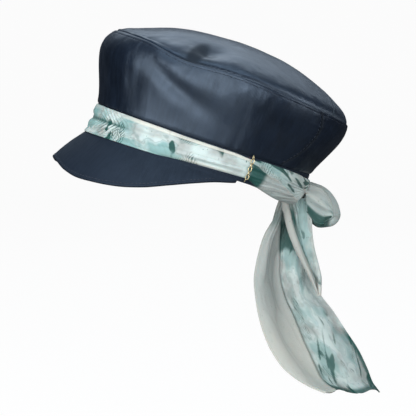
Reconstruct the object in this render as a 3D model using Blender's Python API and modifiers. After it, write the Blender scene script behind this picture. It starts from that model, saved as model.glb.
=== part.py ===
"""Soft sailor cap with a scarf wound round its band and knotted behind.

Metres, +Z up. The wearer faces -Y, and the wearer's left is +X. The origin is the middle of the
head opening, level with the underside of the band. The cap is worn tilted back, so its own pieces
are modelled level and hang under the empty cap_tilt; the scarf's free ends hang straight down.

A turn is an angle round the cap: 0 at the front, 90 degrees at the wearer's left, 180 behind.
An out is a distance outwards from the head opening's oval.
"""
import math
from collections import namedtuple

import bmesh
import bpy
import numpy as np
from mathutils import Matrix, Vector

# Driving dimensions, in metres and degrees
TILT_BACK = 19.0
HEAD_HALF_LENGTH = 0.100
HEAD_HALF_WIDTH = 0.083
BAND_WALL = 0.002
BAND_HEIGHT = 0.024
CROWN_CLOTH = 0.0018
CROWN_STEP = 0.001
CROWN_HEIGHT = 0.062
CROWN_OVERHANG = 0.0125
CROWN_BELLY = 0.0106
TOP_RISE = 0.0282
TOP_CENTRE_BACK = 0.004
PEAK_HALF_TURN = 103.0
PEAK_REACH = 0.0265
PEAK_DROP = 0.042
PEAK_WALL = 0.0025
SCARF_PUFF = 0.0042
CHAIN_BEHIND_PEAK = 3.5
CHAIN_WIRE = 0.0008
LINK_LENGTH = 0.0052
LINK_WIDTH = 0.0036
LINK_BITE = 0.0002
KNOT_HALF_HEIGHT = 0.0095
KNOT_HALF_WIDTH = 0.011
KNOT_HALF_DEPTH = 0.0065
SCARF_CLOTH = 0.0012
LOOP_LENGTH = 0.027
LOOP_WIDTH = 0.028
TAIL_LENGTH = 0.1805
TAIL_WIDTH = 0.090
TAIL_FOLD = 0.014
TAIL_SLANT = 0.030
SHORT_TAIL_LENGTH = 0.085
SHORT_TAIL_WIDTH = 0.025
SHORT_TAIL_FOLD = 0.004
SEAM_GAP = 0.0003

# Counts of steps along each surface
TURN_STEPS = 64
SIDE_PANEL_STEPS = 51
CROWN_ROWS = 7
TOP_COLUMNS = 12
PEAK_COLUMNS = 26
PEAK_ROWS = 5
WOUND_TURN_STEPS = 80
WOUND_OUTER_STEPS = 8
WOUND_INNER_STEPS = 4
CHAIN_STEPS = 200
LINK_SIDES = 10
WIRE_SIDES = 5
KNOT_RINGS = 10
KNOT_SEGMENTS = 16
LOOP_STEPS = 22
LOOP_COLUMNS = 6
TAIL_STEPS = 20
TAIL_COLUMNS = 12
SHORT_TAIL_COLUMNS = 6

COLLECTION = "sailor_cap"

# The crown at three stations: shares of CROWN_HEIGHT, CROWN_OVERHANG and CROWN_BELLY
Station = namedtuple("Station", "rim_height overhang belly")
CROWN_FRONT = Station(1.085, 0.28, 1.00)
CROWN_SIDE = Station(1.000, 1.00, 0.48)
CROWN_BACK = Station(0.858, 1.30, 0.47)
BELLY_LOWNESS = 1.97
BELLY_FULLNESS = 0.8

# Soft hollows in the crown wall: turn, share of the height, depth as a share of CROWN_BELLY,
# half-length and half-breadth as shares of the height, and the slant of the fold in degrees
Hollow = namedtuple("Hollow", "turn height depth half_length half_breadth slant")
WALL_HOLLOWS = (
    Hollow(57.0, 0.64, 0.34, 0.62, 0.13, -22.0),
    Hollow(40.0, 0.40, 0.12, 0.35, 0.20, 70.0),
    Hollow(62.5, 0.88, 0.20, 0.10, 0.06, 80.0),
    Hollow(78.5, 0.86, 0.20, 0.14, 0.07, -60.0),
    Hollow(112.0, 0.55, 0.14, 0.45, 0.20, -20.0),
    Hollow(-52.0, 0.55, 0.30, 0.55, 0.16, 24.0),
    Hollow(-96.0, 0.60, 0.16, 0.45, 0.20, 20.0),
)

# Soft hollows in the top: turn and share of the way out, depth as a share of TOP_RISE, and
# half-breadth as a share of the head opening's half-length
TopHollow = namedtuple("TopHollow", "turn reach depth half_breadth")
TOP_HOLLOWS = (
    TopHollow(64.0, 0.83, 0.15, 0.14),
    TopHollow(39.0, 0.86, 0.07, 0.12),
    TopHollow(-64.0, 0.80, 0.10, 0.17),
)
TOP_SOFT_SHARE = 0.81
TOP_SOFT_POWER = 2.2
TOP_EDGE_POWER = 16.0

# The rim sags where the cloth is pulled: turn, depth as a share of CROWN_HEIGHT, half-breadth
RimSag = namedtuple("RimSag", "turn depth half_breadth")
RIM_SAGS = (
    RimSag(61.0, 0.080, 16.0),
    RimSag(-68.0, 0.045, 22.0),
)

# The two curved back seams, from the wall's foot up to the rim, and the seam across the top
SeamPoint = namedtuple("SeamPoint", "height turn")
BACK_SEAM = (
    SeamPoint(0.00, 125.0),
    SeamPoint(0.20, 130.5),
    SeamPoint(0.40, 133.8),
    SeamPoint(0.60, 134.9),
    SeamPoint(0.80, 133.6),
    SeamPoint(1.00, 130.5),
)
TOP_SEAM_TURN = 140.3

# The peak: share of its half turn, then shares of PEAK_REACH and PEAK_DROP
PeakRow = namedtuple("PeakRow", "place reach drop")
PEAK_SHAPE = (
    PeakRow(0.00, 0.90, 0.80),
    PeakRow(0.10, 0.92, 0.85),
    PeakRow(0.20, 0.96, 0.93),
    PeakRow(0.30, 1.00, 0.97),
    PeakRow(0.40, 0.98, 0.93),
    PeakRow(0.50, 0.91, 0.85),
    PeakRow(0.60, 0.77, 0.70),
    PeakRow(0.70, 0.60, 0.49),
    PeakRow(0.80, 0.40, 0.29),
    PeakRow(0.90, 0.19, 0.13),
    PeakRow(1.00, 0.03, 0.03),
)
PEAK_BOW = 0.12

# The wound scarf: turn, its lower and upper edges as shares of BAND_HEIGHT, its puff as a share of
# SCARF_PUFF, and how deep the furrow between its two rolls is as a share of that
WindRow = namedtuple("WindRow", "turn lower upper puff notch")
WOUND_SHAPE = (
    WindRow(0.0, -0.15, 0.97, 1.00, 0.60),
    WindRow(25.0, -0.10, 0.97, 1.00, 0.45),
    WindRow(58.0, -0.03, 0.96, 0.95, 0.30),
    WindRow(75.0, 0.08, 0.94, 0.90, 0.30),
    WindRow(97.0, 0.16, 0.94, 0.92, 0.30),
    WindRow(106.5, 0.18, 0.90, 0.72, 0.20),
    WindRow(116.0, -0.04, 0.95, 0.92, 0.30),
    WindRow(132.0, -0.24, 0.93, 1.00, 0.35),
    WindRow(144.0, -0.26, 0.89, 1.00, 0.30),
    WindRow(152.0, -0.08, 0.84, 1.00, 0.20),
    WindRow(160.0, 0.32, 0.82, 0.95, 0.15),
    WindRow(170.0, 0.44, 0.80, 0.90, 0.10),
    WindRow(180.0, 0.46, 0.80, 0.85, 0.10),
)
NOTCH_PLACE = 0.55
NOTCH_BREADTH = 0.13
ROLL_FULLNESS = 0.45
UPPER_ROLL_LESS = 0.40
ROLL_TOPS = np.linspace(0.2, 0.85, 27)
GATHER_COUNT = 20
GATHER_DEPTH = 0.10
GATHER_SLANT = 4.0

# A chain's route: share of its run, how far it is from its seat out to the scarf's fullest roll,
# and its height as a share of BAND_HEIGHT
ChainPoint = namedtuple("ChainPoint", "run over height")
CHAIN_ROUTE = (
    ChainPoint(0.00, 0.00, 1.06),
    ChainPoint(0.25, 0.95, 0.86),
    ChainPoint(0.50, 1.00, 0.54),
    ChainPoint(0.80, 0.95, 0.24),
    ChainPoint(1.00, 0.00, 0.06),
)
CHAIN_TOP_SHARE = 0.04

# The knot: its place as a share of BAND_HEIGHT, how deep it presses on the wound scarf, its folds
KNOT_LEVEL = 0.33
KNOT_PRESS = 0.55
KNOT_FOLDS = 5
KNOT_FOLD_DEPTH = 0.07

# The bow loop: share of its run, then its place behind and below the knot's middle and how far its
# edges curl in as shares of LOOP_LENGTH, and the cloth's breadth as a share of LOOP_WIDTH
LoopPoint = namedtuple("LoopPoint", "run back down breadth curl")
LOOP_RUN = (
    LoopPoint(0.00, 0.28, -0.13, 0.34, 0.00),
    LoopPoint(0.09, 0.46, -0.05, 0.50, 0.10),
    LoopPoint(0.21, 0.75, 0.22, 0.76, 0.26),
    LoopPoint(0.33, 0.94, 0.54, 0.94, 0.34),
    LoopPoint(0.44, 1.00, 0.79, 1.00, 0.38),
    LoopPoint(0.55, 0.92, 1.02, 0.96, 0.40),
    LoopPoint(0.66, 0.68, 1.18, 0.84, 0.36),
    LoopPoint(0.78, 0.36, 1.21, 0.70, 0.24),
    LoopPoint(0.89, 0.15, 1.02, 0.54, 0.08),
    LoopPoint(1.00, 0.10, 0.62, 0.40, 0.00),
)
LOOP_CURL_POWER = 2.5
LOOP_SIDEWAYS = 0.10

# A tail's outline: share of its length, then its front and back edges behind the knot's middle
# as shares of its width
TailRow = namedtuple("TailRow", "down front back")
LONG_TAIL = (
    TailRow(0.000, -0.24, 0.00),
    TailRow(0.025, -0.30, 0.00),
    TailRow(0.127, -0.424, 0.014),
    TailRow(0.203, -0.496, 0.016),
    TailRow(0.304, -0.559, 0.039),
    TailRow(0.397, -0.587, 0.072),
    TailRow(0.490, -0.574, 0.144),
    TailRow(0.609, -0.538, 0.328),
    TailRow(0.712, -0.471, 0.471),
    TailRow(0.800, -0.373, 0.593),
    TailRow(0.899, -0.206, 0.706),
    TailRow(0.950, -0.078, 0.748),
    TailRow(1.000, 0.121, 0.819),
)
LONG_TAIL_FOLDS = 1.6
SHORT_TAIL = (
    TailRow(0.000, -0.90, -0.06),
    TailRow(0.030, -1.08, -0.04),
    TailRow(0.200, -1.00, -0.01),
    TailRow(0.480, -0.68, 0.06),
    TailRow(0.660, -0.36, 0.20),
    TailRow(0.840, -0.02, 0.33),
    TailRow(1.000, 0.24, 0.30),
)
SHORT_TAIL_FOLDS = 1.2
SHORT_TAIL_ASIDE = 0.40
LONG_TAIL_ASIDE = -0.045
ASIDE_AT_TOP = 0.45
ASIDE_BELOW = 0.15
TAIL_FOLD_AT_TOP = 0.35
TAIL_FOLD_DRIFT = 1.2
TAIL_ROWS_UPWARDS = 1.5

NAVY_CLOTH = ((0.016, 0.024, 0.040, 1.0), 0.42, 0.0)
PRINTED_CHIFFON = ((0.50, 0.60, 0.56, 1.0), 0.75, 0.0)
GOLD_CHAIN = ((0.80, 0.62, 0.32, 1.0), 0.25, 1.0)


def clear_scene():
    """Take away every object that is in the scene."""
    for thing in list(bpy.data.objects):
        bpy.data.objects.remove(thing, do_unlink=True)


def collection(name):
    """A new collection in the scene."""
    group = bpy.data.collections.new(name)
    bpy.context.scene.collection.children.link(group)
    return group


def finish_of(name, look):
    """A Principled material from its colour, roughness and metallic value."""
    colour, roughness, metallic = look
    material = bpy.data.materials.new(name)
    material.use_nodes = True
    shader = material.node_tree.nodes["Principled BSDF"]
    shader.inputs["Base Color"].default_value = colour
    shader.inputs["Roughness"].default_value = roughness
    shader.inputs["Metallic"].default_value = metallic
    material.diffuse_color = colour
    return material


def through(rows, key, column, places):
    """A smooth curve through a table's column: cubic steps that never swing past its values."""
    at = np.array([getattr(row, key) for row in rows], float)
    values = np.array([getattr(row, column) for row in rows], float)
    chords = np.diff(values) / np.diff(at)
    before, after = chords[:-1], chords[1:]
    same_way = before * after > 0
    joint = np.where(same_way, before + after, 1.0)
    middle = np.where(same_way, 2 * before * after / joint, 0.0)
    slopes = np.concatenate([chords[:1], middle, chords[-1:]])
    places = np.clip(np.asarray(places, float), at[0], at[-1])
    low = np.clip(np.searchsorted(at, places, side="right") - 1, 0, len(at) - 2)
    step = at[low + 1] - at[low]
    u = (places - at[low]) / step
    start = (2 * u**3 - 3 * u**2 + 1) * values[low] + (u**3 - 2 * u**2 + u) * step * slopes[low]
    end = (3 * u**2 - 2 * u**3) * values[low + 1] + (u**3 - u**2) * step * slopes[low + 1]
    return start + end


def oval(turn, out, height):
    """Points at a turn, this far out from the head opening's oval and this high."""
    turn, out, height = np.broadcast_arrays(turn, out, height)
    normal_x = HEAD_HALF_LENGTH * np.sin(turn)
    normal_y = -HEAD_HALF_WIDTH * np.cos(turn)
    size = np.hypot(normal_x, normal_y)
    x = HEAD_HALF_WIDTH * np.sin(turn) + out * normal_x / size
    y = -HEAD_HALF_LENGTH * np.cos(turn) + out * normal_y / size
    return np.stack([x, y, height], axis=-1)


def station(column, turn):
    """A crown share that runs smoothly from the front over the side to the back."""
    front, side, back = (getattr(row, column) for row in (CROWN_FRONT, CROWN_SIDE, CROWN_BACK))
    c = np.cos(turn)
    return side + (front - back) / 2 * c + ((front + back) / 2 - side) * c * c


def turn_apart(turn, degrees):
    """The signed turn from a table's place to each point, in radians."""
    return (turn - math.radians(degrees) + math.pi) % (2 * math.pi) - math.pi


def rim_rise(turn):
    """How far the rim stands above the wall's foot, sags taken off."""
    rise = CROWN_HEIGHT * station("rim_height", turn)
    for sag in RIM_SAGS:
        apart = turn_apart(turn, sag.turn) / math.radians(sag.half_breadth)
        rise = rise - CROWN_HEIGHT * sag.depth * np.exp(-apart**2)
    return rise


def wall_out(turn, share):
    """How far out the crown wall's face is: its foot, its lean, its belly, less its hollows."""
    lean = CROWN_OVERHANG * station("overhang", turn) * share
    fullness = np.sin(math.pi * np.clip(share, 0, 1) ** BELLY_LOWNESS) ** BELLY_FULLNESS
    belly = CROWN_BELLY * station("belly", turn) * fullness
    hollow = np.zeros_like(belly)
    for dent in WALL_HOLLOWS:
        across = turn_apart(turn, dent.turn) * HEAD_HALF_LENGTH / CROWN_HEIGHT
        up = share - dent.height
        cosine, sine = math.cos(math.radians(dent.slant)), math.sin(math.radians(dent.slant))
        run = (across * cosine + up * sine) / dent.half_length
        off = (up * cosine - across * sine) / dent.half_breadth
        hollow = hollow + dent.depth * np.exp(-run**2 - off**2)
    fade = np.clip(4 * share * (1 - share), 0, 1)
    return BAND_WALL + CROWN_STEP + lean + belly - CROWN_BELLY * hollow * fade


def wall_point(turn, share, depth=0.0):
    """A point on the crown wall, or this deep in its cloth."""
    foot = BAND_HEIGHT + SEAM_GAP
    return oval(turn, wall_out(turn, share) - depth, foot + share * rim_rise(turn))


def top_height(x, y):
    """The top's height over a point: a soft dome that drops to the rim, less its hollows."""
    around = np.radians(np.linspace(-180.0, 180.0, 721))
    rim = wall_point(around, np.ones_like(around))
    rim_angle = np.arctan2(rim[:, 0], -(rim[:, 1] - TOP_CENTRE_BACK))
    angle = np.arctan2(x, -(y - TOP_CENTRE_BACK))
    order = np.argsort(rim_angle)
    reach = np.hypot(rim[:, 0], rim[:, 1] - TOP_CENTRE_BACK)
    rim_reach = np.interp(angle, rim_angle[order], reach[order], period=2 * math.pi)
    rim_height = np.interp(angle, rim_angle[order], rim[order, 2], period=2 * math.pi)
    share = np.clip(np.hypot(x, y - TOP_CENTRE_BACK) / rim_reach, 0, 1)
    crown = BAND_HEIGHT + CROWN_HEIGHT + TOP_RISE
    drop = TOP_SOFT_SHARE * share**TOP_SOFT_POWER + (1 - TOP_SOFT_SHARE) * share**TOP_EDGE_POWER
    hollow = np.zeros_like(share)
    for dent in TOP_HOLLOWS:
        centre = dent.reach * np.interp(math.radians(dent.turn), rim_angle[order], reach[order])
        off_x = x - centre * math.sin(math.radians(dent.turn))
        off_y = y - TOP_CENTRE_BACK + centre * math.cos(math.radians(dent.turn))
        off = np.hypot(off_x, off_y) / (dent.half_breadth * HEAD_HALF_LENGTH)
        hollow = hollow + dent.depth * TOP_RISE * np.exp(-off**2)
    fade = np.clip(4 * (1 - share), 0, 1)
    return crown - (crown - rim_height) * drop - hollow * fade + SEAM_GAP, share


def grid_faces(rows, columns, first, flip=False, ring=False):
    """Quads of a grid of points numbered row by row from first."""
    faces = []
    for row in range(rows - 1):
        for column in range(columns if ring else columns - 1):
            beside = (column + 1) % columns
            a = first + row * columns + column
            b = first + row * columns + beside
            quad = (a, b, b + columns, a + columns)
            faces.append(quad[::-1] if flip else quad)
    return faces


def edge_faces(line_a, line_b):
    """Quads between two lines of point numbers."""
    return [(line_a[i], line_b[i], line_b[i + 1], line_a[i + 1]) for i in range(len(line_a) - 1)]


def object_of(name, mesh, group, material, parent=None):
    """Put a mesh into the collection as a named object, shaded smooth."""
    thing = bpy.data.objects.new(name, mesh)
    group.objects.link(thing)
    mesh.materials.append(material)
    mesh.shade_smooth()
    mesh.set_sharp_from_angle(angle=math.radians(40))
    thing.parent = parent
    return thing


def closed_mesh(name, points, faces):
    """A mesh of points and faces with its doubles merged and its faces turned outwards."""
    mesh = bpy.data.meshes.new(name)
    mesh.from_pydata([tuple(p) for p in points], [], faces)
    work = bmesh.new()
    work.from_mesh(mesh)
    bmesh.ops.remove_doubles(work, verts=work.verts, dist=1e-6)
    bmesh.ops.dissolve_degenerate(work, edges=work.edges, dist=1e-6)
    bmesh.ops.recalc_face_normals(work, faces=work.faces)
    work.to_mesh(mesh)
    work.free()
    return mesh


def shell_mesh(name, outer, inner, ring=False):
    """A cloth wall between two grids of points: both faces and the edges that join them."""
    rows, columns = outer.shape[:2]
    count = rows * columns
    faces = grid_faces(rows, columns, 0, ring=ring)
    faces += grid_faces(rows, columns, count, flip=True, ring=ring)
    numbers = np.arange(count).reshape(rows, columns)
    if ring:
        numbers = np.hstack([numbers, numbers[:, :1]])
    faces += edge_faces(numbers[0] + count, numbers[0])
    faces += edge_faces(numbers[-1], numbers[-1] + count)
    if not ring:
        faces += edge_faces(numbers[:, 0], numbers[:, 0] + count)
        faces += edge_faces(numbers[:, -1] + count, numbers[:, -1])
    points = np.concatenate([outer.reshape(-1, 3), inner.reshape(-1, 3)])
    return closed_mesh(name, points, [tuple(int(n) for n in face) for face in faces])


def cloth_sheet(name, grid, thickness, group, material, parent=None):
    """An open surface through a grid of points, given its thickness by Solidify."""
    rows, columns = grid.shape[:2]
    mesh = bpy.data.meshes.new(name)
    points = [tuple(p) for p in grid.reshape(-1, 3)]
    mesh.from_pydata(points, [], grid_faces(rows, columns, 0))
    thing = object_of(name, mesh, group, material, parent)
    wall = thing.modifiers.new("thickness", "SOLIDIFY")
    wall.thickness = thickness
    wall.offset = -1.0
    return thing


def build_head_band(group, material, tilt):
    """The stiff oval band that the head goes into."""
    turns = np.radians(np.linspace(0, 360, TURN_STEPS, endpoint=False))[None, :]
    heights = np.array([0.0, BAND_HEIGHT])[:, None]
    outer = oval(turns, BAND_WALL, heights)
    inner = oval(turns, 0.0, heights)
    object_of("head_band", shell_mesh("head_band", outer, inner, ring=True), group, material, tilt)


def build_crown_wall(group, material, tilt):
    """The crown wall in two panels that meet at the curved back seams."""
    shares = np.linspace(0, 1, CROWN_ROWS + 1)[:, None]
    seam = np.radians(through(BACK_SEAM, "height", "turn", shares))
    gap = SEAM_GAP / (HEAD_HALF_LENGTH + CROWN_OVERHANG)
    back_steps = TURN_STEPS - SIDE_PANEL_STEPS
    side = np.linspace(-1, 1, SIDE_PANEL_STEPS + 1)[None, :] * (seam - gap)
    back = seam + np.linspace(0, 1, back_steps + 1)[None, :] * 2 * (math.pi - seam)
    for name, turns in (("crown_side", side), ("crown_back", back)):
        wide = np.broadcast_to(shares, turns.shape)
        outer = wall_point(turns, wide)
        inner = wall_point(turns, wide, CROWN_CLOTH)
        object_of(name, shell_mesh(name, outer, inner), group, material, tilt)


def top_grid(turns, shrink):
    """Points of the top between pairs of rim points, shrunk towards its middle."""
    across = np.sin(np.linspace(-0.5, 0.5, TOP_COLUMNS + 1) * math.pi)[None, :]
    rim = wall_point(turns, np.ones_like(turns))
    x = rim[:, :1] * across
    y = np.broadcast_to(rim[:, 1:2], x.shape)
    height, share = top_height(x, y)
    x = x * (1 - shrink)
    y = TOP_CENTRE_BACK + (y - TOP_CENTRE_BACK) * (1 - shrink)
    return np.stack([x, y, height], axis=-1), share


def build_crown_top(group, material, tilt):
    """The domed top in two panels that meet at the seam across its back."""
    seam = math.radians(TOP_SEAM_TURN)
    gap = SEAM_GAP / (HEAD_HALF_LENGTH * math.sin(seam))
    front_steps = round(TURN_STEPS / 2 * TOP_SEAM_TURN / 180)
    back_steps = round(TURN_STEPS / 2) - front_steps
    front = np.linspace(0, seam - gap, front_steps + 1)
    back = np.linspace(seam, math.pi, back_steps + 1)
    for name, turns in (("crown_top", front), ("crown_top_back", back)):
        outer, share = top_grid(turns, 0.0)
        inner, _ = top_grid(turns, CROWN_CLOTH / HEAD_HALF_WIDTH)
        inner[..., 2] -= CROWN_CLOTH * (1 - share**TOP_EDGE_POWER)
        object_of(name, shell_mesh(name, outer, inner), group, material, tilt)


def build_peak(group, material, tilt):
    """The arched peak: it slopes out and down from under the band, its side ends run to nothing."""
    places = np.linspace(-1, 1, PEAK_COLUMNS + 1)[None, :]
    run = np.linspace(0, 1, PEAK_ROWS + 1)[:, None]
    reach = PEAK_REACH * through(PEAK_SHAPE, "place", "reach", abs(places))
    drop = PEAK_DROP * through(PEAK_SHAPE, "place", "drop", abs(places))
    bow = PEAK_BOW * run * (1 - run)
    turns = np.radians(PEAK_HALF_TURN) * places
    grid = oval(turns, BAND_WALL + reach * (run + bow), -SEAM_GAP - drop * (run - bow))
    cloth_sheet("peak", grid[::-1], PEAK_WALL, group, material, tilt)


def wound_puff(turn, share):
    """How far the wound scarf stands off its seat: two soft rolls, a furrow and fine gathers."""
    place = np.degrees(abs(turn_apart(turn, 0.0)))
    puff = SCARF_PUFF * through(WOUND_SHAPE, "turn", "puff", place)
    roll = np.sin(math.pi * np.clip(share, 0, 1)) ** ROLL_FULLNESS * (1 - UPPER_ROLL_LESS * share)
    depth = through(WOUND_SHAPE, "turn", "notch", place)
    notch = 1 - depth * np.exp(-(((share - NOTCH_PLACE) / NOTCH_BREADTH) ** 2))
    gather = 1 + GATHER_DEPTH * np.cos(GATHER_COUNT * turn + GATHER_SLANT * share)
    return puff * roll * notch * gather


def rest_out(turn, height):
    """How far out the wound scarf's back lies: on the band, and below it on the peak's slope."""
    place = abs(turn_apart(turn, 0.0)) / math.radians(PEAK_HALF_TURN)
    reach = PEAK_REACH * through(PEAK_SHAPE, "place", "reach", place)
    drop = PEAK_DROP * through(PEAK_SHAPE, "place", "drop", place)
    slope = np.where(place < 1, reach * (1 + PEAK_BOW) / (drop * (1 - PEAK_BOW)), 0.0)
    below = np.clip(SEAM_GAP - height, 0, None)
    return BAND_WALL + SEAM_GAP + slope * below


def build_wound_scarf(group, material, tilt):
    """The scarf's ring round the band, low behind the chains and high over the knot."""
    turns = np.radians(np.linspace(-180, 180, WOUND_TURN_STEPS, endpoint=False))[None, :]
    place = np.degrees(abs(turns))
    lower = BAND_HEIGHT * through(WOUND_SHAPE, "turn", "lower", place)
    upper = BAND_HEIGHT * through(WOUND_SHAPE, "turn", "upper", place)
    outward = (1 - np.cos(np.linspace(0, math.pi, WOUND_OUTER_STEPS + 1)))[:, None] / 2
    back = np.linspace(1, 0, WOUND_INNER_STEPS + 1)[1:-1, None]
    outer_height = lower + (upper - lower) * outward
    inner_height = lower + (upper - lower) * back
    outer = oval(turns, rest_out(turns, outer_height) + wound_puff(turns, outward), outer_height)
    inner = oval(turns, rest_out(turns, inner_height), inner_height)
    section = np.concatenate([outer, inner])
    rows, columns = section.shape[:2]
    looped = np.concatenate([section, section[:1]])
    faces = grid_faces(rows + 1, columns, 0, ring=True)
    mesh = closed_mesh("scarf_band", looped.reshape(-1, 3), faces)
    object_of("scarf_band", mesh, group, material, tilt)


def link_mesh(name, length):
    """One oval link: a ring of round wire pulled out along X."""
    bpy.ops.mesh.primitive_torus_add(
        major_segments=LINK_SIDES, minor_segments=WIRE_SIDES,
        major_radius=(LINK_WIDTH - CHAIN_WIRE) / 2, minor_radius=CHAIN_WIRE / 2)
    ring = bpy.context.active_object
    mesh = ring.data.copy()
    mesh.name = name
    bpy.data.objects.remove(ring, do_unlink=True)
    pull = (length - LINK_WIDTH) / 2
    for vertex in mesh.vertices:
        vertex.co.x += math.copysign(pull, vertex.co.x) if abs(vertex.co.x) > 1e-6 else 0.0
    return mesh


def chain_route(turn):
    """The chain's route over the wound scarf, from the crown wall's foot down to the band."""
    stand = LINK_WIDTH / 2 * math.sin(math.pi / 4) + CHAIN_WIRE / 2 + SEAM_GAP
    one_turn = np.array([turn])
    run = np.linspace(0, 1, CHAIN_STEPS + 1)
    foot = float(wall_out(one_turn, np.array([CHAIN_TOP_SHARE]))[0])
    seat = foot + (BAND_WALL - foot) * run
    fullest = BAND_WALL + SEAM_GAP + float(wound_puff(one_turn, ROLL_TOPS).max())
    out = seat + (fullest - seat) * through(CHAIN_ROUTE, "run", "over", run) + stand
    height = BAND_HEIGHT * through(CHAIN_ROUTE, "run", "height", run)
    return oval(np.full_like(out, turn), out, height)


def build_chain(name, side, group, cutters, material, tilt):
    """A chain of interlocked links, each turned a quarter from the last, fused where they touch."""
    turn = side * math.radians(PEAK_HALF_TURN + CHAIN_BEHIND_PEAK)
    route = chain_route(turn)
    steps = np.linalg.norm(np.diff(route, axis=0), axis=1)
    run = np.concatenate([[0], np.cumsum(steps)])
    pitch = LINK_LENGTH - 2 * CHAIN_WIRE
    count = round(run[-1] / pitch)
    pitch = run[-1] / count
    mesh = link_mesh(name, pitch + 2 * CHAIN_WIRE - LINK_BITE)
    for number in range(count):
        middle = (number + 0.5) * pitch
        ends = [np.array([np.interp(middle + s * pitch / 2, run, route[:, i]) for i in range(3)])
                for s in (-1, 0, 1)]
        along = Vector(ends[2] - ends[0]).normalized()
        outward = Vector(oval(turn, 1.0, 0.0) - oval(turn, 0.0, 0.0)).normalized()
        across = along.cross(outward).normalized()
        frame = Matrix((along, across, along.cross(across))).transposed().to_4x4()
        roll = Matrix.Rotation(math.radians(45 if number % 2 else -45), 4, "X")
        place = Matrix.Translation(Vector(ends[1])) @ frame @ roll
        if number == 0:
            chain = object_of(name, mesh.copy(), group, material, tilt)
            chain.data.transform(place)
            union = chain.modifiers.new("fused", "BOOLEAN")
            union.operation = "UNION"
            union.solver = "EXACT"
            union.operand_type = "COLLECTION"
            links = bpy.data.collections.new(name + "_links")
            cutters.children.link(links)
            union.collection = links
            continue
        link = object_of(f"{name}_link_{number}", mesh.copy(), links, material, tilt)
        link.data.transform(place)
        link.hide_render = True
        link.display_type = "WIRE"


def knot_place():
    """The level knot's middle, and how far out its pressed face is."""
    behind = np.array([math.pi])
    press = BAND_WALL + float(wound_puff(behind, ROLL_TOPS).max()) + 2 * SEAM_GAP
    middle = oval(math.pi, press + KNOT_PRESS * KNOT_HALF_DEPTH, KNOT_LEVEL * BAND_HEIGHT)
    return Vector(middle), HEAD_HALF_LENGTH + press


def build_knot(group, material, tilt):
    """The knot: a folded lump, flat where it presses on the wound scarf."""
    middle, face = knot_place()
    work = bmesh.new()
    bmesh.ops.create_uvsphere(work, u_segments=KNOT_SEGMENTS, v_segments=KNOT_RINGS, radius=1.0)
    for vertex in work.verts:
        around = math.atan2(vertex.co.x, vertex.co.y)
        fold = 1 + KNOT_FOLD_DEPTH * math.cos(KNOT_FOLDS * around) * (1 - vertex.co.z**2)
        vertex.co.x *= KNOT_HALF_WIDTH * fold
        vertex.co.y *= KNOT_HALF_DEPTH * fold
        vertex.co.z *= KNOT_HALF_HEIGHT
        vertex.co += middle
        vertex.co.y = max(vertex.co.y, face)
    bmesh.ops.dissolve_degenerate(work, edges=work.edges, dist=1e-6)
    mesh = bpy.data.meshes.new("scarf_knot")
    work.to_mesh(mesh)
    work.free()
    object_of("scarf_knot", mesh, group, material, tilt)


def worn(point):
    """Where a point of the level cap is when the cap is worn."""
    return Matrix.Rotation(math.radians(-TILT_BACK), 4, "X") @ Vector(point)


def build_loop(group, material):
    """The bow loop: a broad run of cloth out of the knot and back, its edges curled in."""
    middle = worn(knot_place()[0])
    run = np.linspace(0, 1, LOOP_STEPS + 1)
    back = LOOP_LENGTH * through(LOOP_RUN, "run", "back", run)
    down = LOOP_LENGTH * through(LOOP_RUN, "run", "down", run)
    breadth = LOOP_WIDTH / 2 * through(LOOP_RUN, "run", "breadth", run)
    curl = LOOP_LENGTH * through(LOOP_RUN, "run", "curl", run)
    inward_y = np.gradient(down)
    inward_z = np.gradient(back)
    size = np.hypot(inward_y, inward_z)
    across = np.linspace(-1, 1, LOOP_COLUMNS + 1)[None, :]
    lift = curl[:, None] * abs(across) ** LOOP_CURL_POWER
    x = middle.x + LOOP_SIDEWAYS * LOOP_WIDTH + breadth[:, None] * across
    y = middle.y + back[:, None] - lift * (inward_y / size)[:, None]
    z = middle.z - down[:, None] - lift * (inward_z / size)[:, None]
    grid = np.stack([np.broadcast_to(x, y.shape), y, z], axis=-1)
    cloth_sheet("scarf_loop", grid[:, ::-1], SCARF_CLOTH, group, material)


def under_knot(x):
    """How far below the knot's middle its underside is at this distance to the side."""
    tilt = math.radians(TILT_BACK)
    lowest = math.hypot(KNOT_HALF_HEIGHT * math.cos(tilt), KNOT_HALF_DEPTH * math.sin(tilt))
    return lowest * np.sqrt(1 - np.clip(x / KNOT_HALF_WIDTH, -0.9, 0.9) ** 2) + 2 * SEAM_GAP


def tail_grid(rows, length, width, fold, folds, slant, aside, steps, columns):
    """A hanging tail: from under the knot, between its two edges, in folds that grow downwards."""
    middle = worn(knot_place()[0])
    down = np.linspace(0, 1, steps + 1)[:, None] ** TAIL_ROWS_UPWARDS
    across = np.linspace(0, 1, columns + 1)[None, :]
    front = width * through(rows, "down", "front", down)
    back = width * through(rows, "down", "back", down)
    y = middle.y + front + (back - front) * across
    wave = np.sin(2 * math.pi * folds * across + TAIL_FOLD_DRIFT * down)
    away = ASIDE_AT_TOP + (1 - ASIDE_AT_TOP) * np.clip(down / ASIDE_BELOW, 0, 1)
    x = aside * width * away + slant * (0.5 - across) * down
    x = x + fold * wave * (TAIL_FOLD_AT_TOP + (1 - TAIL_FOLD_AT_TOP) * down)
    z = middle.z - under_knot(x) * (1 - down) - KNOT_HALF_HEIGHT * down - length * down
    x = x + middle.x
    return np.stack([x, y, z], axis=-1)


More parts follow.
